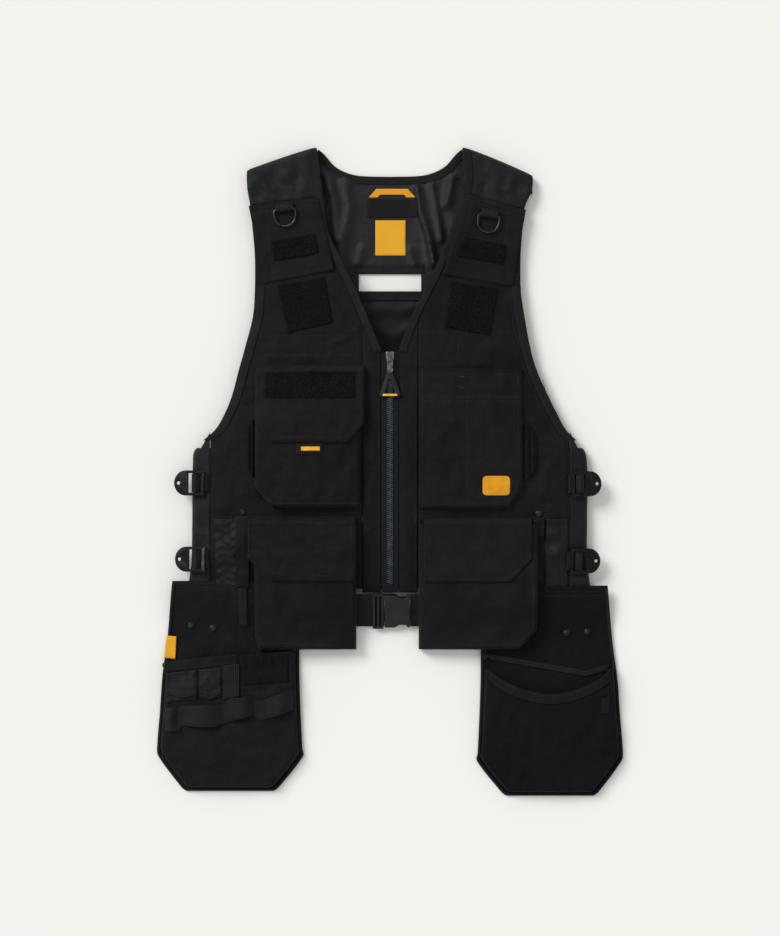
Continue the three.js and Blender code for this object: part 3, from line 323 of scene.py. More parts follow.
class Shader:
    def __init__(self, name, uniform):
        self.material = bpy.data.materials.new(name)
        self.material.use_nodes = True
        self.tree = self.material.node_tree
        self.base = self.tree.nodes["Principled BSDF"]
        for socket, value in uniform.items():
            self.base.inputs[socket].default_value = value
        self.normal = None

    def make(self, kind, settings, sockets, output=0):
        node = self.tree.nodes.new(kind)
        for key, value in settings.items():
            if key == "stops":
                ramp = node.color_ramp
                while len(ramp.elements) < len(value):
                    ramp.elements.new(0.5)
                for element, (place, color) in zip(ramp.elements, value):
                    element.position, element.color = place, (*color, 1)
            else:
                setattr(node, key, value)
        pairs = enumerate(sockets) if isinstance(sockets, (list, tuple)) else sockets.items()
        for key, value in pairs:
            if isinstance(value, Number):
                self.tree.links.new(value.socket, node.inputs[key])
            elif value is not None:
                node.inputs[key].default_value = value
        return Number(self, node.outputs[output])

    def uv(self):
        return self.make("ShaderNodeUVMap", {"uv_map": "cloth"}, {})

    def place(self):
        return self.make("ShaderNodeTexCoord", {}, {}, "Object")

    def parts(self, vector):
        split = self.make("ShaderNodeSeparateXYZ", {}, [vector]).socket.node
        return [Number(self, output) for output in split.outputs]

    def noise(self, vector, scale, detail=3.0, rough=0.55):
        sockets = {"Vector": vector, "Scale": scale, "Detail": detail, "Roughness": rough}
        return self.make("ShaderNodeTexNoise", {}, sockets, "Fac")

    def stretched(self, vector, scale):
        return self.make("ShaderNodeVectorMath", {"operation": "MULTIPLY"}, [vector, scale])

    def blend(self, share, first, second):
        node = self.make("ShaderNodeMix", {"data_type": "RGBA"}, {"Factor": share}).socket.node
        for key, value in ((6, first), (7, second)):
            if isinstance(value, Number):
                self.tree.links.new(value.socket, node.inputs[key])
            else:
                node.inputs[key].default_value = (*value, 1)
        return Number(self, node.outputs[2])

    def bump(self, height, depth, strength=1.0):
        sockets = {"Height": height, "Distance": depth, "Strength": strength, "Normal": self.normal}
        self.normal = self.make("ShaderNodeBump", {}, sockets)

    def finish(self, **links):
        for socket, value in links.items():
            self.tree.links.new(value.socket, self.base.inputs[socket.replace("_", " ")])
        if self.normal:
            self.tree.links.new(self.normal.socket, self.base.inputs["Normal"])
        return self.material


tau = 2 * math.pi
fabricKeys = ("dark", "light", "pitch", "rough", "crease", "sheen", "gloss")
fabrics = {name: dict(zip(fabricKeys, row)) for name, *row in [
    ("canvas", (0.0030, 0.0030, 0.0031), (0.0095, 0.0095, 0.0096), 0.0009, 0.74, 0.0048, 0.03, 0.10),
    ("satin", (0.0022, 0.0023, 0.0034), (0.0082, 0.0085, 0.0122), 0.0005, 0.37, 0.0022, 0.03, 0.26),
    ("shell", (0.0017, 0.0018, 0.0026), (0.0060, 0.0063, 0.0088), 0.0007, 0.50, 0.0022, 0.03, 0.18),
    ("oxford", (0.0028, 0.0028, 0.0035), (0.0085, 0.0086, 0.0105), 0.0007, 0.58, 0.0032, 0.04, 0.16),
    ("tape", (0.0032, 0.0032, 0.0034), (0.0100, 0.0100, 0.0108), 0.0007, 0.66, 0.0010, 0.04, 0.14),
    # the recess cloth is canvas darkened as painted shade
    ("recess", (0.0022, 0.0022, 0.0023), (0.0070, 0.0070, 0.0071), 0.0009, 0.80, 0.0050, 0.02, 0.08),
    ("zip tape", (0.0026, 0.0034, 0.0058), (0.0070, 0.0088, 0.0135), 0.0008, 0.7, 0.0008, 0.04, 0.14),
]}


def wovenCloth(name):
    look = fabrics[name]
    s = Shader(name, {"Specular IOR Level": look["gloss"], "Sheen Weight": look["sheen"],
                      "Sheen Roughness": 0.45})
    uv, here = s.uv(), s.place()
    u, v, _ = s.parts(uv)
    warp = (u * (tau / look["pitch"])).wave()
    weft = (v * (tau / look["pitch"])).wave()
    weave = warp * weft * 0.5 + 0.5
    dust = s.noise(here, 9, 4, 0.6)
    slub = s.noise(s.stretched(uv, (120, 1100, 1)), 1.0, 2)
    tone = (dust.between(0.3, 0.72) * 0.45 + weave * 0.25 + slub * 0.3)
    color = s.blend(tone, look["dark"], look["light"])
    crease = s.noise(here, 26, 3, 0.5)
    fine = s.noise(here, 85, 2, 0.5)
    s.bump(crease + fine * 0.35, look["crease"], 0.9)
    s.bump(weave + slub * 0.5, 0.00016, 0.6)
    return s.finish(Base_Color=color, Roughness=dust * 0.16 + (look["rough"] - 0.08))


def loopPile():
    s = Shader("loop pile", {"Specular IOR Level": 0.05, "Sheen Weight": 0.02, "Sheen Roughness": 0.6})
    here = s.place()
    curls = s.make("ShaderNodeTexVoronoi", {}, {"Vector": here, "Scale": 620}, "Distance")
    tufts = s.noise(here, 420, 3, 0.65)
    patchy = s.noise(here, 90, 2)
    tone = curls * 0.9 + tufts * 0.6 - 0.35 + patchy * 0.3
    color = s.blend(tone.between(0.1, 1.0), (0.0010, 0.0010, 0.0011), (0.0075, 0.0075, 0.0078))
    s.bump(curls + tufts, 0.0012, 1.0)
    return s.finish(Base_Color=color, Roughness=patchy * 0.1 + 0.88)


# Ribs run across the webbing; along says which way the webbing goes, by the piece's own map or by place
def ribbedWebbing(name, dark, light, pitch, along="map"):
    s = Shader(name, {"Specular IOR Level": 0.15, "Sheen Weight": 0.04, "Sheen Roughness": 0.4})
    here = s.place()
    u, v, _ = s.parts(s.uv() if along == "map" else here)
    if along != "down":
        u, v = v, u
    rib = (v * (tau / pitch)).wave() * 0.5 + 0.5
    strand = (u * (tau / (pitch * 0.8)) + (v * (tau / pitch)).wave() * 1.2).wave() * 0.5 + 0.5
    dust = s.noise(here, 30, 3)
    tone = rib * 0.45 + strand * 0.3 + dust * 0.35
    s.bump(rib + strand * 0.5, 0.0006, 0.9)
    return s.finish(Base_Color=s.blend(tone, dark, light), Roughness=dust * 0.2 + 0.5)


def metal(name, color, rough, worn):
    s = Shader(name, {"Metallic": 1.0})
    here = s.place()
    brushed = s.noise(s.stretched(here, (60, 900, 60)), 1.0, 3)
    spots = s.noise(here, 160, 4, 0.6)
    tone = s.blend(spots.between(0.35, 0.7), color, worn)
    s.bump(brushed + spots * 0.6, 0.00008, 0.7)
    return s.finish(Base_Color=tone, Roughness=brushed * 0.18 + (rough - 0.06))


def plastic(name, color, rough):
    s = Shader(name, {"Specular IOR Level": 0.35})
    here = s.place()
    grain = s.noise(here, 900, 2)
    worn = s.noise(here, 45, 4, 0.65)
    tone = s.blend(worn.between(0.4, 0.75), color, tuple(c * 1.9 + 0.004 for c in color))
    s.bump(grain, 0.00012, 0.6)
    return s.finish(Base_Color=tone, Roughness=worn * 0.25 + (rough - 0.12))


def wovenLabel(name, dark, light, rough=0.6):
    s = Shader(name, {"Specular IOR Level": 0.15, "Sheen Weight": 0.03})
    here = s.place()
    x, y, _ = s.parts(here)
    lines = (y * (tau / 0.0006)).wave() * 0.5 + 0.5
    cross = (x * (tau / 0.0004)).wave() * 0.5 + 0.5
    faded = s.noise(here, 55, 3)
    s.bump(lines + cross * 0.5, 0.00012, 0.7)
    tone = lines * 0.3 + cross * 0.15 + faded * 0.6
    return s.finish(Base_Color=s.blend(tone, dark, light), Roughness=faded * 0.15 + rough - 0.07)


def threadLook(name, dark, light):
    s = Shader(name, {"Specular IOR Level": 0.25, "Sheen Weight": 0.03})
    here = s.place()
    twist = s.noise(here, 1500, 2)
    s.bump(twist, 0.0002, 0.6)
    return s.finish(Base_Color=s.blend(twist, dark, light), Roughness=twist * 0.2 + 0.5)


def floorLook():
    s = Shader("floor", {"Specular IOR Level": 0.15, "Roughness": 0.9})
    here = s.place()
    cloudy = s.noise(here, 1.4, 3)
    grain = s.noise(here, 700, 2)
    low = tuple(c * 0.985 for c in studio["floor"])
    s.bump(grain, 0.00005, 0.3)
    return s.finish(Base_Color=s.blend(cloudy, low, studio["floor"]))


canvas, satin, oxford, shell = [wovenCloth(name) for name in ("canvas", "satin", "oxford", "shell")]
tape, zipTape = wovenCloth("tape"), wovenCloth("zip tape")
pile = loopPile()
webDark, webLight = (0.0030, 0.0030, 0.0031), (0.0115, 0.0115, 0.0118)
webbing = ribbedWebbing("webbing", webDark, webLight, 0.0026)
webbingAcross = ribbedWebbing("webbing across", webDark, webLight, 0.0030, "across")
webbingDown = ribbedWebbing("webbing down", webDark, webLight, 0.0022, "down")
darkSteel = metal("dark steel", (0.014, 0.014, 0.0155), 0.40, (0.026, 0.026, 0.028))
brightSteel = metal("bright steel", (0.085, 0.085, 0.088), 0.34, (0.24, 0.24, 0.245))
teethSteel = metal("teeth steel", (0.060, 0.072, 0.092), 0.42, (0.11, 0.13, 0.16))
blackPlastic = plastic("black plastic", (0.0040, 0.0042, 0.0048), 0.45)
yellowPlastic = plastic("yellow rubber", (0.70, 0.33, 0.012), 0.6)
blackLabel = wovenLabel("black label", (0.0015, 0.0015, 0.0018), (0.0050, 0.0050, 0.0055))
yellowLabel = wovenLabel("yellow label", (0.66, 0.31, 0.014), (0.82, 0.43, 0.03))
orangeLabel = wovenLabel("orange tape", (0.60, 0.25, 0.008), (0.76, 0.34, 0.016))
thread = threadLook("thread", (0.0042, 0.0042, 0.0045), (0.0150, 0.0150, 0.0156))
orangeThread = threadLook("orange thread", (0.42, 0.17, 0.006), (0.62, 0.26, 0.012))
ringSteel = metal("ring steel", (0.030, 0.031, 0.033), 0.32, (0.075, 0.075, 0.079))
# lighter steel for the side frames' bevels and inner rail: a painted highlight along their edges
edgeHighlightSteel = metal("edge steel", (0.055, 0.056, 0.060), 0.30, (0.13, 0.13, 0.135))
rivetSteel = metal("rivet steel", (0.020, 0.020, 0.022), 0.34, (0.055, 0.055, 0.058))
beltOlive = ribbedWebbing("belt webbing", (0.0050, 0.0048, 0.0032), (0.0150, 0.0142, 0.0098), 0.0030,
                          "across")
# darker canvas as painted shade for the holster's sagging mouth and the gussets; the right holster's wall and
# bag are cut from it as well
paintedShadeCloth = wovenCloth("recess")
floor.data.materials.append(floorLook())
print("materials ready")


# Mesh object from points in millimetres, in metres at the origin
def meshPiece(name, points, faces, material, uvs=None, sharp=38):
    mesh = bpy.data.meshes.new(name)
    mesh.from_pydata((np.asarray(points, float) * 0.001).tolist(), [], faces)
    piece = bpy.data.objects.new(name, mesh)
    bpy.context.scene.collection.objects.link(piece)
    mesh.materials.append(material)
    if uvs is not None:
        layer = mesh.uv_layers.new(name="cloth")
        loops = np.zeros(len(mesh.loops), np.int32)
        mesh.loops.foreach_get("vertex_index", loops)
        layer.data.foreach_set("uv", (np.asarray(uvs, float)[loops] * 0.001).ravel())
    shape = bmesh.new()
    shape.from_mesh(mesh)
    bmesh.ops.recalc_face_normals(shape, faces=shape.faces)
    shape.to_mesh(mesh)
    shape.free()
    mesh.shade_smooth()
    mesh.set_sharp_from_angle(angle=math.radians(sharp))
    return piece


# Cloth between two grids of points, top and underside, each rows x columns x 3
def clothPiece(name, top, under, material, skip=None, edgeSoft=True):
    rows, columns = top.shape[:2]
    if edgeSoft:
        r, c = np.arange(rows), np.arange(columns)
        ring = np.minimum(np.minimum(r, rows - 1 - r)[:, None], np.minimum(c, columns - 1 - c)[None, :])
        fill = np.where(ring == 0, 0.45, np.where(ring == 1, 0.88, 1.0))[..., None]
        top = under + (top - under) * fill
    index = np.arange(rows * columns).reshape(rows, columns)
    a, b, c, d = index[:-1, :-1], index[1:, :-1], index[1:, 1:], index[:-1, 1:]
    quads = np.stack([a, b, c, d], -1)
    keep = np.ones(quads.shape[:2], bool) if skip is None else ~skip
    kept = quads[keep]
    low = kept[:, ::-1] + rows * columns
    pairs = np.concatenate([kept[:, [i, (i + 1) % 4]] for i in range(4)])
    there = {(p, q) for p, q in pairs.tolist()}
    rim = [[q, p, p + rows * columns, q + rows * columns] for p, q in there if (q, p) not in there]
    points = np.concatenate([top.reshape(-1, 3), under.reshape(-1, 3)])
    across = np.cumsum(np.linalg.norm(np.diff(top, axis=1, prepend=top[:, :1]), axis=2), axis=1)
    down = np.cumsum(np.linalg.norm(np.diff(top, axis=0, prepend=top[:1]), axis=2), axis=0)
    uvs = np.stack([across - across[:, columns // 2][:, None], down], -1).reshape(-1, 2)
    faces = kept.tolist() + low.tolist() + rim
    used = sorted({k for face in faces for k in face})
    new = {old: i for i, old in enumerate(used)}
    faces = [[new[k] for k in face] for face in faces]
    return meshPiece(name, points[used], faces, material, np.concatenate([uvs, uvs])[used])


def steps(count, soft=0.0):
    even = np.linspace(0, 1, count + 1)
    return even if not soft else np.sort(np.concatenate([even, [soft, 1 - soft]]))


def groove(x, y, lines, deep=0.5, wide=1.8):
    return deep * np.exp(-((lineDistance(x, y, lines) / wide) ** 2)) if lines else 0.0


# Cloth laid on a surface: place gives x and y for the grid
def laid(name, place, grid, surface, wall, material, seams=(), soft=0.0, extra=None, skip=None):
    u, v = np.meshgrid(steps(grid[0], soft), steps(grid[1], soft))
    x, y = place(u, v)
    under = surface(x, y)
    top = under + wall - groove(x, y, seams)
    if extra is not None:
        top = top + extra(x, y)
    drop = None if skip is None else skip((u[:-1, :-1] + u[1:, 1:]) / 2, (v[:-1, :-1] + v[1:, 1:]) / 2)
    return clothPiece(name, np.stack([x, y, top], -1), np.stack([x, y, under], -1), material, drop)


def follow(line, pitch):
    line = np.asarray(line, float)
    lengths = np.concatenate([[0], np.cumsum(np.hypot(*np.diff(line, axis=0).T))])
    count = max(2, int(lengths[-1] / pitch))
    at = np.linspace(0, lengths[-1], count)
    return np.stack([np.interp(at, lengths, line[:, 0]), np.interp(at, lengths, line[:, 1])], -1)


stitch = {"pitch": 3.4, "radius": 0.42, "sunk": 0.42}


# Stitches: a small spindle of thread for each one, lying along the line
def stitches(name, lines, surface, material=thread, body="vest", near=0.15, pitch=stitch["pitch"],
             share=0.37):
    points, faces = [], []
    for line in lines:
        route = follow(line, pitch)
        for (ax, ay), (bx, by) in zip(route[:-1], route[1:]):
            length = math.hypot(bx - ax, by - ay)
            if length < 1e-6:
                continue
            mx, my, dx, dy = (ax + bx) / 2, (ay + by) / 2, bx - ax, by - ay
            points.append((mx, my, dx * share, dy * share, length))
    data = np.array(points)
    mx, my, dx, dy, length = data.T
    za, zb = surface(mx - dx, my - dy) + near, surface(mx + dx, my + dy) + near
    zm = surface(mx, my) + near
    nx, ny = -dy / np.hypot(dx, dy) * stitch["radius"], dx / np.hypot(dx, dy) * stitch["radius"]
    r = stitch["radius"]
    ring = []
    for share, lift in ((-0.55, 1.0), (0.55, 1.0)):
        zs = zm + (zb - za) / 2 * share
        for a, b in ((1, 0), (0, 1), (-1, 0), (0, -1)):
            ring.append(np.stack([mx + dx * share + nx * a, my + dy * share + ny * a, zs + r * b * lift], -1))
    tips = [np.stack([mx - dx, my - dy, za - r * 0.4], -1), np.stack([mx + dx, my + dy, zb - r * 0.4], -1)]
    block = np.stack(ring + tips, 1)
    count = len(data)
    one = [[0, 1, 5, 4], [1, 2, 6, 5], [2, 3, 7, 6], [3, 0, 4, 7], [8, 1, 0], [8, 2, 1], [8, 3, 2], [8, 0, 3],
           [9, 4, 5], [9, 5, 6], [9, 6, 7], [9, 7, 4]]
    faces = [[k + 10 * i for k in face] for i in range(count) for face in one]
    piece = meshPiece(name, block.reshape(-1, 3), faces, material, sharp=80)
    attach(piece, body)
    return piece


leastSide = 10.2


def settle(piece, slot, nodes=(), flat=None, area=None, rests=(), held="laid", body="vest"):
    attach(piece, body)
    if nodes:
        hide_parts(*nodes)
    if flat:
        # sides narrower than leastSide are raised to it, and area is then worked out from the true sides;
        # neither is used further; the frame takes no narrower sheet, so area gives the true one
        cut = [max(side, leastSide) for side in flat]
        if area is None and cut != list(flat):
            area = flat[0] * flat[1] / 1e6
        cut[0] / 1000
        cut[1] / 1000
    return piece


# Flat size of a grid of cloth, and its area, from the cut that the shape was laid out as
def cutOf(x, y):
    width, length = float(x.max() - x.min()), float(y.max() - y.min())
    dx = np.abs(np.diff((x[1:] + x[:-1]) / 2, axis=1))
    dy = np.abs(np.diff((y[:, 1:] + y[:, :-1]) / 2, axis=0))
    area = float((dx * dy).sum())
    return (width, length), area / 1e6


print("tools ready")

# Back of the vest: lining of the yoke, with the open slot, and of the lower back
back = {"foldHigh": 1.2, "foldPitch": 44, "columns": 60}
liningFolds = [  # page line, width, height
    ([(417, 190), (420, 212), (428, 236), (434, 264)], 5.5, 6.0),
    ([(432, 186), (436, 208), (441, 240)], 5.0, 4.0),
    ([(345, 184), (350, 206), (346, 230), (339, 262)], 8.0, 5.5),
    ([(330, 180), (336, 206), (338, 240)], 8.0, 4.5),
    ([(362, 250), (358, 264)], 6.0, 3.0), ([(322, 172), (328, 190)], 8.0, 3.0),
    ([(452, 180), (446, 205)], 6.0, 4.0),
    ([(410, 252), (414, 264)], 6.0, 3.0), ([(362, 314), (384, 308), (402, 311), (418, 307)], 9.0, 3.4),
    ([(378, 330), (396, 336), (410, 328)], 8.0, 2.4),
]
yokeBottom = topY - vest["yoke"]
slotTop = yokeBottom + vest["slotBand"] + vest["slotHigh"]


def backFolds(x, y):
    up = smooth(clamp((y - slotTop + 4) / 30)) * smooth(clamp((topY - 52 - y) / 22))
    side = smooth(clamp((np.abs(x) - 26) / 30))
    low = smooth(clamp((yokeBottom - 14 - y) / 30))
    ripple = waves(x, y * 0.35, back["foldPitch"], 21, 8, 14) + 0.5
    height = np.maximum(0, ripple) * back["foldHigh"] * (up * side + 0.6 * low)
    for line, wide, high in liningFolds:
        height = height + high * np.exp(-((lineDistance(x, y, [onPage(line)]) / wide) ** 2))
    return height * smooth(clamp((np.abs(y - slotTop + vest["slotHigh"] / 2) - 11) / 14))


def seamY(side, u):
    left, right = (0.135, 0.117), (0.144, 0.108)
    outer, inner = left if side < 0 else right
    return topY - vest["length"] * mix(inner, outer, u)


def shoulderTop(side, x):
    far = edgeOf("outer", side, topY)
    share = clamp((np.abs(x) - vest["neckHalf"]) / (far - vest["neckHalf"]))
    drop = np.where(np.asarray(side) < 0, vest["dropLeft"], vest["dropRight"])
    return topY - drop * share**1.15


def backTop(x):
    share = np.abs(x) / vest["neckHalf"]
    fold = shoulderTop(np.sign(x) + 0.5, x) - vest["foldTurn"] - gap
    neck = topY - vest["neckDrop"] * (1 - along(neckline, np.minimum(share, 1), "rise"))
    return np.where(share >= 1, fold, np.minimum(fold, neck))


def neckCurve(x):
    return topY - 2 - (vest["neckDrop"] - 2) * (1 - along(neckline,
        np.minimum(np.abs(x) / vest["neckHalf"], 1), "rise"))


def halfBack(side, y):
    return np.minimum(edgeOf("outer", side, y), vest["sideSeam"]) - cloth


def makeBack():
    slotEnd = vest["slotWide"] / 2
    n = back["columns"]
    across = np.concatenate([-2 + np.arange(n) / n, np.linspace(-1, 1, n), 2 - np.arange(n)[::-1] / n])
    down = np.concatenate([np.linspace(0, 1, 70), [1.25, 1.5, 1.75, 2, 2.2, 2.4, 2.6, 2.8, 3]])
    u, v = np.meshgrid(across, down)
    side = np.sign(u) + 0.5

    def xAt(y):
        return np.where(np.abs(u) <= 1, u * slotEnd, np.sign(u) * mix(slotEnd, halfBack(side, y),
                                                                      np.abs(u) - 1))

    topX = xAt(shoulderTop(side, vest["sideSeam"] + 0 * u) - vest["foldTurn"])
    reach, turnAt = np.abs(topX), vest["neckHalf"] + 0.6
    topX = np.where((reach > turnAt - 5.2) & (reach < turnAt), np.sign(topX) * (turnAt - 0.3), topX)
    topX = np.where((reach >= turnAt) & (reach < turnAt + 5.2), np.sign(topX) * (turnAt + 0.7), topX)
    upperEdge = np.where(np.abs(topX) < turnAt, neckCurve(topX), backTop(topX))
    slotLow = slotTop - vest["slotHigh"]
    upperX, upperY = mix(topX, xAt(slotTop + 0 * u), clamp(v)), mix(upperEdge, slotTop, clamp(v))
    lowY = np.interp(v, [1, 2, 3], [slotTop, slotLow, yokeBottom])
    x, y = np.where(v <= 1, upperX, xAt(lowY)), np.where(v <= 1, upperY, lowY)
    under = 0 * x
    top = under + cloth + backFolds(x, y)
    middle = (np.abs(u[:-1, :-1] + u[1:, 1:]) / 2, (v[:-1, :-1] + v[1:, 1:]) / 2)
    skip = (middle[0] < 1) & (middle[1] > 1) & (middle[1] < 2)
    piece = clothPiece("yoke_lining", np.stack([x, y, top], -1), np.stack([x, y, under], -1), satin, skip)
    flat, area = cutOf(x, y)
    settle(piece, "satin", ["back_yoke"], flat, min(area, 0.99 * flat[0] * flat[1] / 1e6), ["floor"])

    def lower(u, v):
        y = mix(yokeBottom - gap, hemY, v)
        return (2 * u - 1) * halfBack(2 * u - 1, y), y

    # the lower lining takes the darker shell cloth in place of satin: painted shade where it lies deep under
    # the fronts
    lowerPiece = laid("lower_lining", lower, (110, 100), lambda x, y: 0 * x, cloth, shell, extra=backFolds)
    settle(lowerPiece, "satin", ["lower_back"], (500, 404), None, ["floor"])


makeBack()


# Shoulders: the yoke's turn from the front seam over the fold and round onto the back
def makeShoulder(word, side):
    u, v = np.meshgrid(steps(36), np.concatenate([np.linspace(0, 2, 26), np.linspace(2, 8, 26)[1:],
                                                  [8.5, 9]]))

    def path(outer):
        nearNeck = edgeOf("neck", side, topY) + gap
        farEdge = edgeOf("outer", side, topY - vest["length"] * 0.065) - gap
        x0 = side * mix(nearNeck, farEdge, u)
        foldY = shoulderTop(side, x0)
        front = frontHeight(x0, foldY)
        radius = (front - cloth) / 2
        arcY = foldY - radius - cloth
        share = clamp(v / 2)
        y = mix(seamY(side, u) + gap, arcY, share)
        x = mix(side * mix(edgeOf("neck", side, y), edgeOf("outer", side, y), u), x0, smooth(share))
        crease = (2.3 * waves(x, y, 30, 31 + side, 10, 22) + 0.7 * waves(x, y, 14, 35,
                                                                         40)) * np.sin(np.pi * share)
        crease = crease * smooth(clamp((u - 0.12) / 0.2)) + 0.2 * smooth(share)
        flat = np.stack([x, y, mix(frontHeight(x, y), front, share) + (cloth if outer else 0) + crease], -1)
        angle = np.pi * (np.clip(v, 2, 8) - 2) / 6
        reach = radius + cloth if outer else radius
        turned = np.stack([x0, arcY + reach * np.sin(angle), cloth + radius + reach * np.cos(angle)], -1)
        far = clamp(v - 8)
        ending = np.stack([x0, mix(turned[..., 1], foldY - vest["foldTurn"], far),
                           0 * x + (0 if outer else cloth)], -1)
        w = v[..., None]
        return np.where(w <= 2, flat, np.where(w <= 8, turned, ending))

    piece = clothPiece(f"shoulder_lining_{word}", path(True), path(False), shell)
    settle(piece, "satin", [f"shoulder_{word}"], (102, 100), None, ["back_yoke"], "folded")


# Side panels: from the front's seam out over the side fold and round to the back's seam
def makeSide(word, side):
    t, v = np.meshgrid(np.concatenate([np.linspace(0, 1, 16), np.linspace(1, 7, 22)[1:], [7.5, 8]]),
                       steps(70))

    def path(outer):
        y0 = mix(topY - vest["length"] * 0.682, hemY, v)
        edge = edgeOf("outer", side, y0)
        front = frontHeight(side * edge, y0)
        radius = (front - cloth) / 2
        arcX = edge - radius - cloth
        startX = vest["sideSeam"] + gap
        share = clamp(t)
        y = y0 + np.where(t <= 1, vest["sideRise"] * (1 - share) * (1 - v), 0)
        x = mix(startX, arcX, share)
        flat = np.stack([side * x, y, mix(frontHeight(side * x, y), front, share) + (cloth if outer else 0)],
                        -1)
        angle = np.pi * (np.clip(t, 1, 7) - 1) / 6
        reach = radius + cloth if outer else radius
        turned = np.stack([side * (arcX + reach * np.sin(angle)), y0, cloth + radius + reach * np.cos(angle)],
                          -1)
        far = clamp(t - 7)
        ending = np.stack([mix(turned[..., 0], side * startX, far), y0, 0 * x + (0 if outer else cloth)], -1)
        w = t[..., None]
        return np.where(w <= 1, flat, np.where(w <= 7, turned, ending))

    piece = clothPiece(f"side_stretch_{word}", path(True), path(False), shell)
    settle(piece, "satin", [f"side_panel_{word}"], (66, 196), None, ["lower_back"], "folded")


# Front panels, with their seams as page lines
fronts = {
    "left": {
        "seams": [[(268, 215), (268, 260), (267.5, 292), (266, 314), (262, 334), (256, 354), (249.5, 377),
                   (245.5, 396),
                   (239, 413), (229, 431), (217, 446), (209, 458), (209, 583)],
                  [(249, 345), (262, 337), (356, 337)], [(249, 356), (356, 356)],
                  [(366, 300), (361.5, 330), (361.5, 516), (361, 586)], [(367, 314), (366, 516), (366, 586)],
                  [(212, 516), (361, 516)], [(212, 519.5), (361, 519.5)]],
    },
    "right": {
        "seams": [[(507, 215), (507, 260), (507.7, 290), (512, 321), (517, 346), (523.5, 370), (528.5, 384),
                   (537, 402),
                   (556, 438), (567.6, 455), (567.6, 583)],
                  [(416, 333), (520, 333)], [(457, 333), (457, 362)], [(416.6, 300), (416.6, 586)],
                  [(412, 330), (412, 586)], [(416, 516), (567, 516)], [(416, 519.5), (567, 519.5)],
                  [(542, 380), (549, 410), (560.5, 440), (560.5, 583)]],
    },
}


def makeFront(word, side):
    seams = [onPage(line) for line in fronts[word]["seams"]]

    def place(u, v):
        y = mix(seamY(side, u), hemY, v)
        inner = np.maximum(edgeOf("neck", side, y), vest["placket"])
        return side * mix(inner, np.minimum(edgeOf("outer", side, y), vest["sideSeam"]), u), y

    piece = laid(f"front_panel_{word}", place, (78, 190), frontHeight, cloth, canvas, seams)
    settle(piece, "canvas", [f"front_{word}"], (215, 548), 0.099, ["lower_back"])
    top = lambda x, y: frontHeight(x, y) + cloth - 0.45
    stitches(f"front_stitching_{word}", seams, top)


for word, side in (("left", -1), ("right", 1)):
    makeShoulder(word, side)
    makeSide(word, side)
    makeFront(word, side)
print("body ready")


# Plackets beside the zip, neck bindings and armhole bindings
def makeEdges(word, side):
    pointY = zipTop
    while edgeOf("neck", side, pointY) < vest["placket"] - 2 * gap - 1:
        pointY += 1

    def placket(u, v):
        y = mix(pointY, hemY - vest["tail"], v)
        inner = np.maximum(edgeOf("neck", side, y), vest["zipWide"] / 2 + gap)
        return side * mix(inner, vest["placket"] - gap, u), y

    lines = [np.array([(side * x, zipTop - 4), (side * x, hemY - 4)]) for x in (16.5, 34.5)]
    wall = cloth + vest["placketExtra"]
    piece = laid(f"placket_strip_{word}", placket, (16, 190), frontHeight, wall, canvas, lines, 0.04)
    settle(piece, "canvas", [f"placket_{word}"], (27, 395), 0.0088, ["lower_back"])
    stitches(f"placket_stitching_{word}", lines, lambda x, y: frontHeight(x, y) + wall - stitch["sunk"])

    foldY = float(shoulderTop(side, vest["neckHalf"]))
    turnRadius = (float(frontHeight(side * vest["neckHalf"], foldY)) - cloth) / 2
    start, arcY = foldY - 4.5, foldY - turnRadius - cloth

    def binding(u, v):
        y = mix(start, zipTop, v)
        edge = np.maximum(edgeOf("neck", side, y), vest["zipWide"] / 2 + gap)
        return side * (edge + vest["binding"] * u), y

    rise = cloth + vest["placketExtra"] + gap

    def onEdge(x, y):
        over = np.clip(y - arcY, 0, turnRadius + cloth - 1.4)
        reach = turnRadius + cloth
        return frontHeight(x, np.minimum(y, arcY)) + rise - (reach - np.sqrt(reach**2 - over**2))

    u = np.full(60, 0.86)
    line = np.stack(binding(u, np.linspace(0.01, 0.99, 60)), -1)
    edgeWall = vest["bindingWall"]
    piece = laid(f"neck_tape_{word}", binding, (7, 130), onEdge, edgeWall, tape, [line], 0.04)
    settle(piece, "binding", [f"neck_binding_{word}"], (11, 285), None, [f"front_panel_{word}"])
    stitches(f"neck_stitching_{word}", [line], lambda x, y: onEdge(x, y) + edgeWall - stitch["sunk"])

    def armhole(u, v):
        y = mix(float(topY - vest["length"] * 0.318), topY - vest["length"] * 0.665, v)
        return side * (edgeOf("outer", side, y) - 13 * u - 0.3), y

    inner = np.stack(armhole(np.full(80, 0.86), np.linspace(0.01, 0.99, 80)), -1)
    piece = laid(f"armhole_tape_{word}", armhole, (7, 110), onFront, 1.0, tape, [inner], 0.04)
    settle(piece, "binding", (), (13, 214), None, [f"front_panel_{word}"])
    stitches(f"armhole_stitching_{word}", [inner], above(onFront, 0.6))


def makeBackTape():
    def place(u, v):
        x = mix(-0.995, 0.995, u) * vest["neckHalf"]
        slope = (neckCurve(x + 0.5 * (x < 0)) - neckCurve(x - 0.5 * (x >= 0))) * 2
        lean = slope / np.hypot(1, slope)
        return x + vest["binding"] * v * lean, neckCurve(x) - 0.2 - vest["binding"] * v * np.sqrt(1 - lean**2)

    surface = lambda x, y: 0 * x + cloth + gap
    line = np.stack(place(np.linspace(0.01, 0.99, 70), np.full(70, 0.84)), -1)
    piece = laid("neck_tape_back", place, (90, 7), surface, vest["bindingWall"], tape, [line], 0.05)
    settle(piece, "binding", ["neck_binding_back"], (228, 11), None, ["yoke_lining"])
    stitches("neck_stitching_back", [line], lambda x, y: 0 * x + cloth + gap + 0.8)


for word, side in (("left", -1), ("right", 1)):
    makeEdges(word, side)
makeBackTape()
print("edges ready")
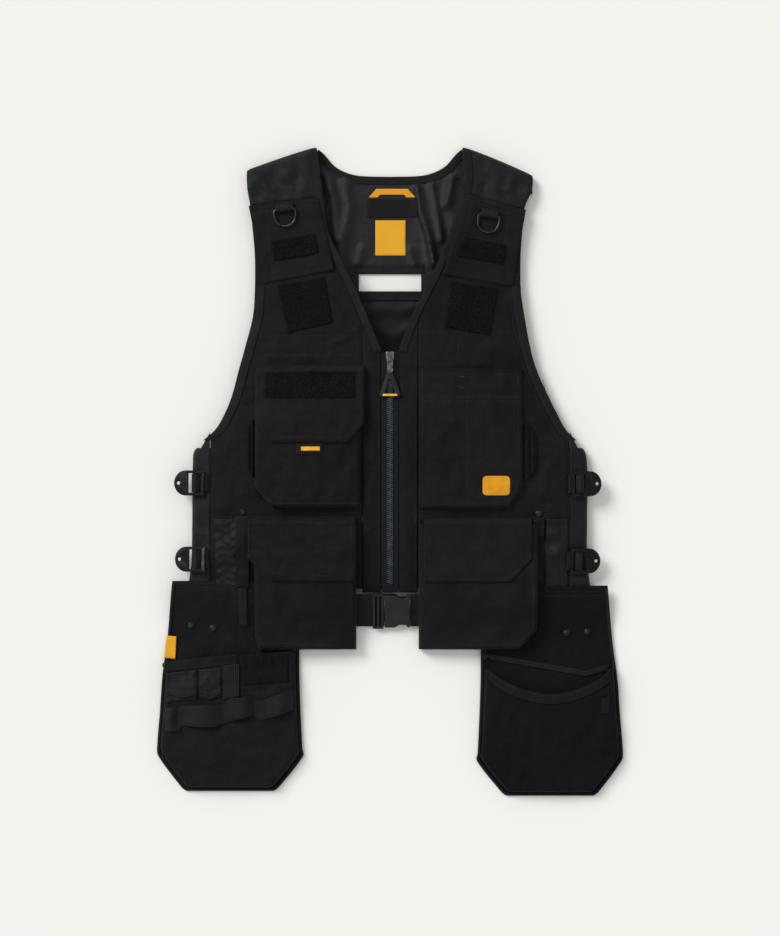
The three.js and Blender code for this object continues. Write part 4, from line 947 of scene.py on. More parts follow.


# Shoulder straps and loop patches; the ring tabs follow with the hardware
straps = {
    "left": {"corners": [(-0.715, 0.135), (-0.364, 0.117), (-0.281, 0.281), (-0.638, 0.311)],
             "small": [(-0.602, 0.215), (-0.378, 0.199), (-0.362, 0.244), (-0.588, 0.260)],
             "large": [(-0.571, 0.316), (-0.331, 0.296), (-0.289, 0.400), (-0.516, 0.423)],
             "seams": [[(267, 213), (273.4, 282)], [(253, 210.5), (318, 202.5)], [(253, 214.5), (318, 206.5)],
                       [(266, 281), (332, 268)]]},
    "right": {"corners": [(0.688, 0.144), (0.391, 0.108), (0.264, 0.291), (0.620, 0.318)],
              "small": [(0.587, 0.224), (0.380, 0.206), (0.339, 0.250), (0.576, 0.267)],
              "large": [(0.546, 0.322), (0.312, 0.307), (0.275, 0.409), (0.505, 0.428)],
              "seams": [[(508, 212), (497, 284)], [(467, 198), (521, 214.5)], [(467, 202), (520, 218.5)],
                        [(444, 272), (509, 284)], [(472, 200), (456, 272)]]},
}


def cornerPlace(corners):
    points = [np.array([a * vest["half"], topY - d * vest["length"]]) for a, d in corners]
    topOuter, topInner, lowInner, lowOuter = points

    def place(u, v):
        u, v = u[..., None], v[..., None]
        spot = mix(mix(topOuter, topInner, u), mix(lowOuter, lowInner, u), v)
        return spot[..., 0], spot[..., 1]

    return place


# Short uneven height of the loops
def roughPile(x, y):
    return 0.35 * waves(x, y, 5, 4) + 0.2 * waves(x, y, 2.8, 5)


def makeStrap(word):
    strap = straps[word]
    seams = [onPage(line) for line in strap["seams"]]
    piece = laid(f"strap_{word}", cornerPlace(strap["corners"]), (46, 46), underStrap, cloth, canvas, seams,
                 0.012)
    settle(piece, "canvas", [f"strap_panel_{word}"], (100, 112), 0.0098, [f"front_panel_{word}"])
    stitches(f"strap_stitching_{word}", seams, lambda x, y: underStrap(x, y) + cloth - stitch["sunk"])
    for size, surface, under, node in (("small", onStrap, "strap", (64, 30)),
                                       ("large", onFront, "front_panel", (68, 68))):
        place = cornerPlace(strap[size])
        patch = laid(f"pile_{size}_{word}", place, (60, 34 if size == "small" else 60), surface, 1.7, pile,
                     (), 0.02,
                     roughPile)
        settle(patch, "loop_pile", [f"loop_patch_{size}_{word}"], node, None, [f"{under}_{word}"])


for word in ("left", "right"):
    makeStrap(word)
print("straps ready")

# Pockets: lengths in millimetres from the middle and from the top of the vest
pockets = {
    "chestLeft": {"inner": 40.5, "width": 147, "top": 314.5, "height": 188, "corner": 24, "rise": 29,
                  "depth": 15},
    "chestRight": {"inner": 40.5, "width": 143, "top": 310, "height": 194, "corner": 18, "rise": 30,
                   "depth": 10},
    "lowerLeft": {"inner": 46.9, "width": 141.5, "top": 524, "height": 177, "corner": 6, "rise": 20,
                  "depth": 15},
    "lowerRight": {"inner": 40, "width": 165.5, "top": 525.5, "height": 175.5, "corner": 26, "rise": 28,
                   "depth": 15},
    "chestFlap": {"inner": 36, "width": 150.5, "top": 306, "height": 107, "corner": 23, "near": 22,
                  "rise": 26},
    "flapLeft": {"inner": 48, "width": 149, "top": 515.5, "height": 89, "corner": 32, "near": 0, "rise": 32},
    "flapRight": {"inner": 46.5, "width": 150, "top": 517, "height": 88, "corner": 30, "near": 0, "rise": 32},
}


def pocketEdges(pocket, y):
    bottom = topY - pocket["top"] - pocket["height"]
    cut = 1 - clamp((y - bottom) / pocket["rise"])
    return pocket["inner"] + pocket.get("near",
                                        0) * cut, pocket["inner"] + pocket["width"] - pocket["corner"] * cut


def pocketDepth(pocket, x, y):
    middle = pocket["inner"] + pocket["width"] / 2
    reach = (np.abs(x) - middle) / (pocket["width"] / 2)
    fill = mix(0.6, 1, smooth(clamp((topY - pocket["top"] - y) / 70)))
    return pocket["depth"] * fill * (1 - 0.2 * np.minimum(1, reach**2))


# Slack of a pocket's cloth: broad waves with finer ones over them
def slack(name, x, y):
    return waves(x, y, 34, len(name) + 7) + 0.3 * waves(x, y, 15, len(name) + 20, 75, 50)


# The front face of a pouch made by pouchPiece, to lay trims on
def faceOf(name, surface, depth, sag=vest["sag"]):
    return lambda x, y: surface(x, y) + depth(x, y) + sag * slack(name, x, y)


sideShare = 0.8  # of a pocket's depth, at its two sides


# A pocket's cut: its face and the cloth that turns down round it, less the cut corners
def pocketCut(pocket):
    width = pocket["width"] + 2 * sideShare * pocket["depth"]
    height = pocket["height"] + pocket["depth"]
    corners = (pocket["corner"] + pocket.get("near", 0)) * pocket["rise"] / 2
    return (width, height), (width * height - corners) / 1e6


# Open-backed pouch: its front wall turns down on a rounded rim to what it lies on, and its mouth is open
def pouchPiece(name, side, edges, mouth, bottom, surface, depth, material, seams=(), rim=5.0, count=(52, 60),
               sag=vest["sag"]):
    turn = np.linspace(0, math.pi / 2, 6)
    rimAt, rise = 1 - np.cos(turn), np.sin(turn)
    share = np.linspace(0, 1, count[0])
    left = np.concatenate([rimAt[:-1], np.ones(count[0]), np.ones(5)])
    right = np.concatenate([np.zeros(5), np.zeros(count[0]), 1 - rimAt[:-1][::-1]])
    middle = np.concatenate([np.zeros(5), share, np.ones(5)])
    liftX = np.concatenate([rise[:-1], np.ones(count[0]), rise[:-1][::-1]])
    down = np.concatenate([np.linspace(0, 1, count[1]), np.ones(5)])
    low = np.concatenate([np.ones(count[1]), rimAt[:-1][::-1]])
    liftY = np.concatenate([np.ones(count[1]), rise[:-1][::-1]])

    def grid(inset):
        y = mix(mouth(middle[None, :]), bottom + inset + rim, down[:, None])
        y = np.where(down[:, None] < 1, y, bottom + inset + rim * low[:, None] + 0 * middle[None, :])
        inner, outer = edges(y)
        near, far = inner + inset, outer - inset
        x = np.where(left[None, :] < 1, near + rim * left[None, :],
                     np.where(right[None, :] > 0, far - rim + rim * right[None, :],
                              mix(near + rim, far - rim, middle[None, :])))
        x = side * x
        lift = liftX[None, :] * liftY[:, None]
        soft = sag * slack(name, x, y) * lift
        tuck = groove(x, y, seams) if inset == 0 else 0
        z = surface(x, y) + (depth(x, y) - inset) * lift + soft - tuck
        return np.stack([x, y, z], -1)

    return clothPiece(name, grid(0), grid(cloth), material, edgeSoft=False)


def pocketPiece(name, key, side, surface, seams=()):
    pocket = pockets[key]
    low = topY - pocket["top"] - pocket["height"]
    return pouchPiece(name, side, lambda y: pocketEdges(pocket, y), lambda s: topY - pocket["top"] + 0 * s,
                      low, surface,
                      lambda x, y: pocketDepth(pocket, x, y), canvas, seams)


def flapPlace(key, side):
    shape = pockets[key]
    top = topY - shape["top"]

    def place(u, v):
        y = top - shape["height"] * v
        inner, outer = pocketEdges(shape, y)
        return side * mix(inner, outer, u), y

    return place


def flapSurface(key, face):
    top = topY - pockets[key]["top"]

    def height(x, y):
        over = face(x, y) + 2 * gap + 0.3
        return mix(onFront(x, y) + loose - gap, over, smooth(clamp((top - y) / vest["flapSeam"])))

    return height


def flapPiece(name, key, side, surface, seams):
    return laid(name, flapPlace(key, side), (60, 48), surface, vest["flapWall"], canvas, seams, 0.012)


pocketSeams = {
    "chestLeft": [[(259.5, 478), (259.5, 489), (275.5, 503), (360, 503)]],
    "chestRight": [[(420, 386), (516, 386)], [(420, 397.5), (516, 397.5)], [(420, 402), (516, 402)],
                   [(466, 402), (466, 505)], [(420, 375), (517, 375)],
                   [(517, 378), (517, 484), (505, 501.5), (421, 505)]],
    "lowerLeft": [[(259, 575), (259, 632), (262, 641), (354, 645)]],
    "lowerRight": [[(422, 585), (422, 645), (516, 643), (532, 627), (532, 580)]],
    "chestFlap": [[(262, 371.5), (262, 419), (276, 437), (344.5, 437.5), (358.5, 423), (359.5, 371.5)],
                  [(260, 371.5), (361, 371.5)]],
    "flapLeft": [[(254, 521), (254, 551.5), (274, 571), (350.5, 575.5), (351, 521)],
                 [(252, 521.5), (352, 521.5)]],
    "flapRight": [[(428, 521), (428, 576.5), (507, 575.8), (525, 556), (527.5, 521)],
                  [(426, 521.5), (529, 521.5)]],
}
lines = {key: [onPage(line) for line in value] for key, value in pocketSeams.items()}

for word, side in (("Left", -1), ("Right", 1)):
    low = word.lower()
    chest = pocketPiece(f"chest_pocket_{low}", f"chest{word}", side, onFront, lines[f"chest{word}"])
    pocket = pockets[f"chest{word}"]
    settle(chest, "canvas", [f"chest_pouch_{low}"], *pocketCut(pocket), [f"front_panel_{low}"])
    chestFace = faceOf(chest.name, onFront, lambda x, y: pocketDepth(pocket, x, y))
    stitches(f"chest_stitching_{low}", lines[f"chest{word}"], above(chestFace, -stitch["sunk"]))

    pocket = pockets[f"lower{word}"]

    def pouchBack(u, v, pocket=pocket, side=side):
        y = topY - pocket["top"] - pocket["height"] * v
        inner, outer = pocketEdges(pocket, y)
        return side * mix(inner, outer, u), y

    rear = laid(f"hip_pocket_back_{low}", pouchBack, (44, 54), lowerHeight, cloth, canvas)
    size = (pocket["width"], pocket["height"])
    settle(rear, "canvas", [f"lower_pouch_back_{low}"], size, None, [f"front_panel_{low}"])
    hip = pocketPiece(f"hip_pocket_{low}", f"lower{word}", side, onLower, lines[f"lower{word}"])
    settle(hip, "canvas", [f"lower_pouch_{low}"], *pocketCut(pocket), [rear.name])
    hipFace = faceOf(hip.name, onLower, lambda x, y: pocketDepth(pocket, x, y))
    stitches(f"hip_stitching_{low}", lines[f"lower{word}"], above(hipFace, -stitch["sunk"]))
    over = flapSurface(f"flap{word}", hipFace)
    flap = flapPiece(f"hip_flap_{low}", f"flap{word}", side, over, lines[f"flap{word}"])
    settle(flap, "canvas", [f"lower_flap_{low}"], (pockets[f"flap{word}"]["width"], 90), None, [hip.name])
    stitches(f"hip_flap_stitching_{low}", lines[f"flap{word}"],
             above(over, vest["flapWall"] - stitch["sunk"]))

leftChest = faceOf("chest_pocket_left", onFront, lambda x, y: pocketDepth(pockets["chestLeft"], x, y))
overChest = flapSurface("chestFlap", leftChest)
flap = flapPiece("chest_flap", "chestFlap", -1, overChest, lines["chestFlap"])
settle(flap, "canvas", ["chest_flap_left"], (150.5, 107), None, ["chest_pocket_left"])
stitches("chest_flap_stitching", lines["chestFlap"], above(overChest, vest["flapWall"] - stitch["sunk"]))


def flapPatch(u, v):
    return -mix(49, 173.5, u), topY - 306 - 9 - 36 * v


patch = laid("pile_flap", flapPatch, (100, 34), lambda x, y: overChest(x, y) + vest["flapWall"] + gap, 1.7,
             pile, (), 0.02,
             roughPile)
settle(patch, "loop_pile", ["flap_loop_patch"], (124.5, 36), None, ["chest_flap"])


def chestTab(u, v):
    return -111.6 + 36.5 * (u - 0.5), topY - 306 - 107 - gap - 15 * v


onChest = above(leftChest, gap + 0.1)
tab = laid("chest_tab", chestTab, (24, 12), onChest, 1.5, webbing, (), 0.03)
settle(tab, "webbing", ["chest_tab_left"], (36.5, 15), None, ["chest_pocket_left"])
print("pockets ready")

# Zip: tape and teeth on both sides of the middle; the slider, tab and pull follow with the hardware
zipParts = {"toothPitch": 3.0, "toothLong": 5.4, "toothWide": 1.9, "toothHigh": 2.4, "tape": 1.4}


def makeZip():
    half = vest["zipWide"] / 2
    place = lambda u, v: (mix(-half, half, u), mix(zipTop, hemY - vest["tail"], v))
    lines = [np.array([(x, zipTop), (x, hemY)]) for x in (-8.5, 8.5)]
    piece = laid("zip_tape_strip", place, (16, 150), frontHeight, zipParts["tape"], zipTape, lines, 0.05)
    settle(piece, "zip_tape", ["zip"], (24, 334), None, ["lower_back"])
    bpy.ops.object.select_all(action="DESELECT")
    bpy.ops.mesh.primitive_cube_add(size=1)
    tooth = bpy.context.object
    tooth.scale = (zipParts["toothLong"], zipParts["toothWide"], zipParts["toothHigh"])
    bpy.ops.object.transform_apply(location=False, rotation=False, scale=True)
    bevel = tooth.modifiers.new("round", "BEVEL")
    bevel.width, bevel.segments = 0.5, 1
    bpy.ops.object.modifier_apply(modifier=bevel.name)
    points = np.array([v.co[:] for v in tooth.data.vertices])
    faces = [list(f.vertices) for f in tooth.data.polygons]
    bpy.data.objects.remove(tooth, do_unlink=True)
    allPoints, allFaces = [], []
    count = int((zipTop - hemY - 18) / zipParts["toothPitch"])
    for k in range(count):
        for side in (-1, 1):
            y = zipTop - 14 - (k + (0.5 if side > 0 else 0)) * zipParts["toothPitch"]
            x = side * 1.9
            z = float(frontHeight(0.0, y)) + zipParts["tape"] + 0.7
            allFaces += [[i + len(allPoints) * len(points) for i in face] for face in faces]
            allPoints.append(points + [x, y, z])
    teeth = meshPiece("zip_teeth", np.concatenate(allPoints), allFaces, teethSteel, sharp=30)
    settle(teeth, "zip_tape")


makeZip()


# Hardware of the frame's own shape, with its edges rounded
def dressed(node, name, material, slot, body="vest", width=0.5, segments=3, smoothed=0, flat=0, held="laid",
            rests=()):
    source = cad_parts[node]
    mesh = source.data.copy()
    piece = bpy.data.objects.new(name, mesh)
    bpy.context.scene.collection.objects.link(piece)
    shape = bmesh.new()
    shape.from_mesh(mesh)
    bmesh.ops.remove_doubles(shape, verts=shape.verts, dist=0.00002)
    if not smoothed:
        bmesh.ops.dissolve_limit(shape, angle_limit=math.radians(1), verts=shape.verts, edges=shape.edges)
    bmesh.ops.recalc_face_normals(shape, faces=shape.faces)
    shape.to_mesh(mesh)
    shape.free()
    mesh.materials.clear()
    mesh.materials.append(material)
    bpy.ops.object.select_all(action="DESELECT")
    piece.select_set(True)
    bpy.context.view_layer.objects.active = piece
    if smoothed:
        bpy.ops.object.mode_set(mode="EDIT")
        bpy.ops.mesh.select_all(action="SELECT")
        bpy.ops.mesh.tris_convert_to_quads()
        bpy.ops.object.mode_set(mode="OBJECT")
        round_ = piece.modifiers.new("smooth", "SUBSURF")
        round_.levels = round_.render_levels = smoothed
    else:
        round_ = piece.modifiers.new("round", "BEVEL")
        round_.width, round_.segments, round_.limit_method = width / 1000, segments, "ANGLE"
        round_.angle_limit = math.radians(32)
    bpy.ops.object.modifier_apply(modifier=round_.name)
    piece.data.shade_smooth()
    piece.data.set_sharp_from_angle(angle=math.radians(34))
    cut = None
    if flat:
        cut = (flat, sum(face.area for face in piece.data.polygons) * 1e6 / 2 / flat)
    return settle(piece, slot, [node], cut, None, rests, held, body)


dressed("zip_slider", "slider", brightSteel, "bright_steel", width=0.35)
dressed("zip_tab", "slider_tab", brightSteel, "bright_steel", "zip_pull", 0.35)
dressed("zip_pull", "pull_triangle", blackPlastic, "black_plastic", "zip_pull", 0.7)
dressed("belt_slide", "belt_ladder", blackPlastic, "black_plastic", width=0.6)
dressed("belt_buckle", "belt_clasp", blackPlastic, "black_plastic", width=1.2, segments=4)
for place in ("left_upper", "left_lower", "right_upper", "right_lower"):
    adjuster = dressed(f"side_buckle_{place}", f"side_frame_{place}", darkSteel, "dark_steel", width=0.8)
    # the inner rail and the sloped bevel faces take the lighter steel as a painted highlight
    adjuster.data.materials.append(edgeHighlightSteel)
    nearest = min(abs(v.co.x) for v in adjuster.data.vertices)
    for face in adjuster.data.polygons:
        face.material_index = int(abs(face.center.x) < nearest + 0.0042 or 0.15 < face.normal.z < 0.96)
    dressed(f"side_webbing_{place}", f"side_strap_{place}", webbingAcross, "webbing", width=0.3, flat=25,
            held="folded", rests=[f"front_panel_{place.split('_')[0]}"])
for word in ("left", "right"):
    dressed(f"d_ring_{word}", f"ring_{word}", ringSteel, "dark_steel", f"d_ring_{word}", smoothed=2)
    dressed(f"d_ring_tab_{word}", f"ring_tab_{word}", webbingDown, "webbing", width=0.4, flat=25,
            held="folded",
            rests=[f"strap_{word}"])
dressed("belt_webbing_left", "belt_strap_left", webbingAcross, "webbing", width=0.5, flat=46,
        rests=["front_panel_left"])
dressed("belt_webbing_right", "belt_strap_right", beltOlive, "webbing", width=0.5, flat=46,
        rests=["front_panel_right"])
print("hardware ready")


# Holsters: lengths in millimetres
holster = {
    "binding": 4.7, "bindingWall": 1.0, "depth": 12, "mouthInner": 98, "mouthOuter": 112,
    "bagDepth": 18, "bagTop": 116, "bagSag": 34, "hem": 14,
    "loopWide": 24, "loopHigh": 8, "loopWall": 1.4, "loops": [(134.5, 168), (189, 224.6), (231, 288.4),
                                                              (295.4, 313)],
    "loopUpper": [(166, 706), (180, 706), (184, 704), (224, 702.5), (229, 697), (252, 694.5), (258, 699),
                  (268, 697.5),
                  (275, 694), (294, 687.5)],
    "loopLower": [(166, 730), (180, 729), (184, 724), (215, 725), (227, 721), (236, 718), (254, 714),
                  (262, 719),
                  (270, 716.5), (294, 708.5)],
}


def shiftOf(side):
    return vest["holsterShift"] if side > 0 else 0.0


def holsterEdges(side, y):
    down = clamp((holsterTop - shiftOf(side) - y) / vest["holsterLong"])
    outer = vest["holsterMiddle"] + vest["holsterHalf"] * along(holsterRows, down, "outer")
    return vest["holsterMiddle"] - vest["holsterHalf"] * along(holsterRows, down, "inner"), outer


def reachAt(x):
    return np.minimum(1, ((np.abs(x) - vest["holsterMiddle"]) / vest["holsterHalf"]) ** 2)


def trayEdges(side):
    inset = vest["holsterInset"]

    def edges(y):
        inner, outer = holsterEdges(side, y - inset)
        return inner + inset, outer - inset

    return edges


def leftDepth(x, y):
    return holster["depth"] * (1 - 0.25 * reachAt(x))


def bagDepth(x, y):
    bagLong = vest["holsterLong"] - holster["bagTop"]
    low = clamp((holsterTop - vest["holsterShift"] - holster["bagTop"] - y) / bagLong)
    return holster["bagDepth"] * (1 - 0.35 * reachAt(x)) * (1 - 0.25 * low)


def leftMouth(share):
    return holsterTop - mix(holster["mouthInner"], holster["mouthOuter"], share)


def bagMouth(share):
    level = holsterTop - vest["holsterShift"] - holster["bagTop"]
    return level - holster["bagSag"] * np.sin(np.pi * share) ** 0.8


def holsterWall(word, side):
    top = holsterTop - shiftOf(side)

    def place(u, v):
        y = top - vest["holsterLong"] * v
        inner, outer = holsterEdges(side, y)
        return side * mix(inner, outer, u), y

    seams = holsterSeams[word]
    # the right holster's wall is cut from the darker painted-shade cloth
    look = canvas if word == "left" else paintedShadeCloth
    wall = laid(f"holster_wall_{word}", place, (70, 110), holsterHeight, cloth, look, seams, 0.01)
    x, y = place(*np.meshgrid(np.linspace(0, 1, 30), np.linspace(0, 1, 60)))
    flat, area = cutOf(x, y)
    settle(wall, "canvas", [f"holster_back_{word}"], flat, min(area, flat[0] * flat[1] / 1e6), ["floor"])
    stitches(f"holster_wall_stitching_{word}", seams, above(holsterHeight, cloth - stitch["sunk"]))
    return place


# Binding round the edge of a holster: a strip along the outline, from the outline inwards
def holsterBinding(word, side):
    levels = np.linspace(0.012, 1, 160)
    y = holsterTop - shiftOf(side) - vest["holsterLong"] * levels
    inner, outer = holsterEdges(side, y)
    route = np.concatenate([np.stack([side * outer, y], -1), np.stack([side * inner, y], -1)[::-1]])
    route = follow(route, 2.5)
    heading = np.gradient(route, axis=0)
    for _ in range(3):
        heading[1:-1] = (heading[:-2] + heading[1:-1] + heading[2:]) / 3
    heading /= np.linalg.norm(heading, axis=1)[:, None]
    inward = np.stack([heading[:, 1], -heading[:, 0]], -1) * (1 if side > 0 else -1)
    t = np.linspace(0, 1, 8)
    points = route[:, None, :] + inward[:, None, :] * (holster["binding"] * t)[None, :, None]
    x, y = points[..., 0], points[..., 1]
    under = holsterHeight(x, y) + cloth + 0.3
    top = under + holster["bindingWall"] + 0.9 * np.sin(np.pi * t)[None, :]
    piece = clothPiece(f"holster_binding_{word}", np.stack([x, y, top], -1), np.stack([x, y, under], -1),
                       tape)
    length = float(np.linalg.norm(np.diff(route, axis=0), axis=1).sum())
    settle(piece, "binding", (), (length, holster["binding"]), None, [f"holster_wall_{word}"])


holsterSeams = {
    "left": [onPage([(176, 583), (247, 583)]), onPage([(176, 586.5), (247, 586.5)])],
    "right": [onPage([(478, 591), (603, 591)]), onPage([(478, 595), (603, 595)])],
}
leftSeams = [onPage(line) for line in (
    [(167, 700), (239, 692), (292, 689)], [(199, 662), (199, 698)], [(240, 655), (240, 694)],
    [(164.5, 735), (163.5, 756), (187, 784), (274, 782), (296, 756), (294, 730)])]
rightSeams = [onPage(line) for line in (
    [(508, 735), (508, 775)], [(548, 742), (548, 785)])]
for word, side in (("left", -1), ("right", 1)):
    holsterWall(word, side)
    holsterBinding(word, side)
low = holsterTop - vest["holsterLong"] + vest["holsterInset"]
pouch = pouchPiece("holster_pouch_front", -1, trayEdges(-1), leftMouth, low, onHolster, leftDepth, canvas,
                   leftSeams)
settle(pouch, "canvas", ["holster_pouch_left"], (204, 212), 0.0385, ["holster_wall_left"])
onPouch = faceOf("holster_pouch_front", onHolster, leftDepth)
stitches("holster_pouch_stitching", leftSeams, above(onPouch, -stitch["sunk"]))
low -= vest["holsterShift"]
# the right holster's bag front is cut from the darker painted-shade cloth
bag = pouchPiece("holster_bag_front", 1, trayEdges(1), bagMouth, low, onHolster, bagDepth, paintedShadeCloth,
                 rightSeams,
                 sag=0.9)
settle(bag, "canvas", ["holster_bag_right"], (204, 190), 0.034, ["holster_wall_right"])
onBag = faceOf("holster_bag_front", onHolster, bagDepth, 0.9)


# A trim between two page lines on a surface, from its upper to its lower line
def trim(name, upper, lower, surface, wall, material, slot, rests, grid=(40, 8), extra=None, nodes=(),
         sew=True, seams=(),
         color=None, held="laid", fullness=1.0):
    upper, lower = onPage(upper), onPage(lower)
    sizes = [np.concatenate([[0], np.cumsum(np.hypot(*np.diff(line, axis=0).T))]) for line in (upper, lower)]

    def place(u, v):
        ends = [[np.interp(u * size[-1], size, line[:, k]) for k in (0, 1)] for line,
                size in ((upper, sizes[0]), (lower, sizes[1]))]
        return mix(ends[0][0], ends[1][0], v), mix(ends[0][1], ends[1][1], v)

    piece = laid(name, place, grid, surface, wall, material, seams, 0.03, extra)
    x, y = place(*np.meshgrid(np.linspace(0, 1, 30), np.linspace(0, 1, 30)))
    du = np.hypot(np.diff(x, axis=1), np.diff(y, axis=1)).sum(axis=1).mean()
    dv = np.hypot(np.diff(x, axis=0), np.diff(y, axis=0)).sum(axis=0).mean()
    settle(piece, slot, nodes, (float(du) * fullness, float(dv)), None, rests, held)
    if sew:
        share = min(0.25, 1.6 / dv)
        run = np.linspace(0.02, 0.98, 50)
        edges = [np.stack(place(run, 0 * run + v), -1) for v in (share, 1 - share)]
        stitches(name + "_stitching", edges, lambda x, y: surface(x, y) + wall - 0.4, color or thread)
    return place


overPouch, overBag = above(onPouch, gap), above(onBag, gap)
trim("holster_pocket_band", [(166, 660.5), (239, 652.5)], [(166, 671), (239, 662.5)], overPouch, 1.2, canvas,
     "canvas",
     ["holster_pouch_front"])
trim("holster_small_pocket_outer", [(168, 672), (198, 668.5)], [(168, 701), (198, 698)], overPouch, 1.0,
     oxford, "canvas",
     ["holster_pouch_front"], (24, 20), lambda x, y: 0.7 * waves(x, y, 16, 6) + 0.5)
trim("holster_small_pocket_middle", [(200.5, 668.3), (222, 666)], [(200.5, 697.6), (222, 695.5)], overPouch,
     1.0, oxford,
     "canvas", ["holster_pouch_front"], (20, 20), lambda x, y: 0.7 * waves(x, y, 14, 9) + 0.5)
# the sagging mouth is laid in the darker cloth: painted shade of the pouch's recess
trim("holster_sagging_mouth", [(243, 655), (289, 652.5)], [(243, 684), (289, 680)], overPouch, 1.0, paintedShadeCloth,
     "canvas",
     ["holster_pouch_front"], (44, 30), lambda x, y: 2.2 * np.maximum(0, waves(x, y, 20, 52, 35, 25)) + 0.2,
     (), False)
trim("holster_upright_strap", [(224, 664), (240, 662.3)], [(224, 697.5), (240, 695.5)], above(onPouch, 2.4),
     1.3, webbing,
     "webbing", ["holster_pouch_front"], (12, 24))


def toolLoops():
    u, v = np.meshgrid(np.linspace(0, 1, 160), np.linspace(0, 1, 12))
    pageX = mix(294, 166.5, u)
    upper = np.interp(pageX, *np.array(holster["loopUpper"]).T)
    lower = np.interp(pageX, *np.array(holster["loopLower"]).T)
    x, y = (middleX - pageX) * pixel, (middleY - mix(upper, lower, v)) * pixel
    lift = 0 * x
    for near, far in holster["loops"]:
        share = clamp((x - near) / (far - near))
        lift = lift + holster["loopHigh"] * min(1, (far - near) / 40) * np.sin(np.pi * share) ** 1.1
    shape = 0.25 * np.sin(np.pi * v) - 0.25
    under = onPouch(-x, y) + gap + 0.3 + lift
    points = [np.stack([-x, y, under + rise], -1) for rise in (holster["loopWall"] + shape, 0)]
    piece = clothPiece("holster_tool_loops", points[0], points[1], tape)
    settle(piece, "webbing", ["tool_loops"], (230, holster["loopWide"]), None, ["holster_pouch_front"])
    places = [(near - 1.5, far + 1.5) for near, far in holster["loops"]]
    lines = []
    for pair in places:
        for spot in pair:
            if 137 < spot < 312:
                top, low = [(middleY - np.interp(middleX - spot / pixel, *np.array(holster[key]).T)) * pixel
                            for key in ("loopUpper", "loopLower")]
                lines.append(np.array([(-spot, top - 2), (-spot, low + 2)]))
    stitches("holster_loop_stitching", lines, lambda x, y: onPouch(x, y) + gap + 1.4)


toolLoops()
for name, upper, lower in (("outer", [(166.5, 685), (182, 689.5), (198, 688)],
                            [(166.5, 691), (182, 696.5), (198, 694.5)]),
                           ("middle", [(200.5, 688), (212, 690.5), (222.5, 685)],
                            [(200.5, 694.5), (212, 697.5), (222.5, 691.5)])):
    trim(f"holster_small_hem_{name}", upper, lower, above(onPouch, 2.9), 1.1, oxford, "canvas",
         ["holster_pouch_front"],
         (24, 6), lambda x, y: 0.4 * waves(x, y, 16, 6))
trim("holster_yellow_tag", [(167.4, 635), (177, 636)], [(164.6, 657), (176, 658.5)], above(onHolster, 1.9),
     1.4,
     yellowLabel, "label_yellow", ["holster_wall_left"], (14, 26), None, ["holster_tag"], True, (),
     orangeThread)
mouth = np.linspace(0.0, 1.0, 30)


def bagLine(rise):
    y = bagMouth(mouth) - rise
    inner, outer = trayEdges(1)(y)
    x = mix(inner + 5.5, outer - 5.5, mouth)
    return [(px / pixel + middleX, middleY - py / pixel) for px, py in zip(x, y)]


trim("holster_bag_hem", bagLine(0.4), bagLine(holster["hem"]), overBag, 1.3, canvas, "canvas",
     ["holster_bag_front"], (60, 8))
trim("holster_inner_hem", [(483, 645), (489, 653.6), (542, 662.4), (584.7, 670), (608, 664)],
     [(484, 651), (490, 659), (542, 668), (584.7, 675.6), (608, 669.5)], above(onHolster, 0.2), 1.4, tape,
     "canvas",
     ["holster_wall_right"], (50, 8))
trim("holster_small_label", [(600, 697), (607.6, 696)], [(600, 712), (607.6, 711)], above(onBag, 0.4), 1.0,
     blackLabel,
     "label_black", ["holster_bag_front"], (10, 14), None, (), False)
print("holsters ready")


# Rivets: one is turned and rounded, and each other is a copy with its own mesh
def makeRivet():
    bpy.ops.object.select_all(action="DESELECT")
    bpy.ops.mesh.primitive_cylinder_add(vertices=24, radius=1, depth=0.36, location=(0, 0, 0.18))
    one = bpy.context.object
    bpy.ops.object.mode_set(mode="EDIT")
    shape = bmesh.from_edit_mesh(one.data)
    for face in shape.faces:
        face.select_set(face.normal.z > 0.9)
    bmesh.update_edit_mesh(one.data)
    bpy.ops.mesh.inset(thickness=0.42)
    bpy.ops.transform.translate(value=(0, 0, -0.10))
    bpy.ops.mesh.inset(thickness=0.14)
    bpy.ops.transform.translate(value=(0, 0, 0.16))
    bpy.ops.object.mode_set(mode="OBJECT")
    bevel = one.modifiers.new("round", "BEVEL")
    bevel.width, bevel.segments, bevel.limit_method = 0.10, 3, "ANGLE"
    bpy.ops.object.transform_apply(location=True, rotation=True, scale=True)
    bpy.ops.object.modifier_apply(modifier=bevel.name)
    points = np.array([v.co[:] for v in one.data.vertices])
    faces = [list(face.vertices) for face in one.data.polygons]
    bpy.data.objects.remove(one, do_unlink=True)
    return points, faces


rivetPoints, rivetFaces = makeRivet()


def rivet(name, spot, surface, radius=4.1):
    (x, y), = onPage([spot])
    z = float(surface(x, y))
    points = rivetPoints * [radius, radius, radius * 0.8] + [x, y, z]
    settle(meshPiece(name, points, rivetFaces, rivetSteel, sharp=30), "dark_steel")


for place, spot in {"left": (243.5, 511), "right": (537.3, 513)}.items():
    rivet(f"rivet_waist_{place}", spot, above(onFront, 1.2))
holsterRivets = {
    "left_hem_outer": (191.4, 624.5), "left_hem_inner": (213.2, 627), "left_outer": (165.8, 664.5),
    "left_inner": (294, 649), "right_upper": (565.9, 632.6), "right_outer": (586.4, 631),
    "right_inner": (484.4, 656.1),
}
for place, spot in holsterRivets.items():
    rivet(f"rivet_holster_{place}", spot, above(onHolster, 0.1), 4.2)
print("rivets ready")


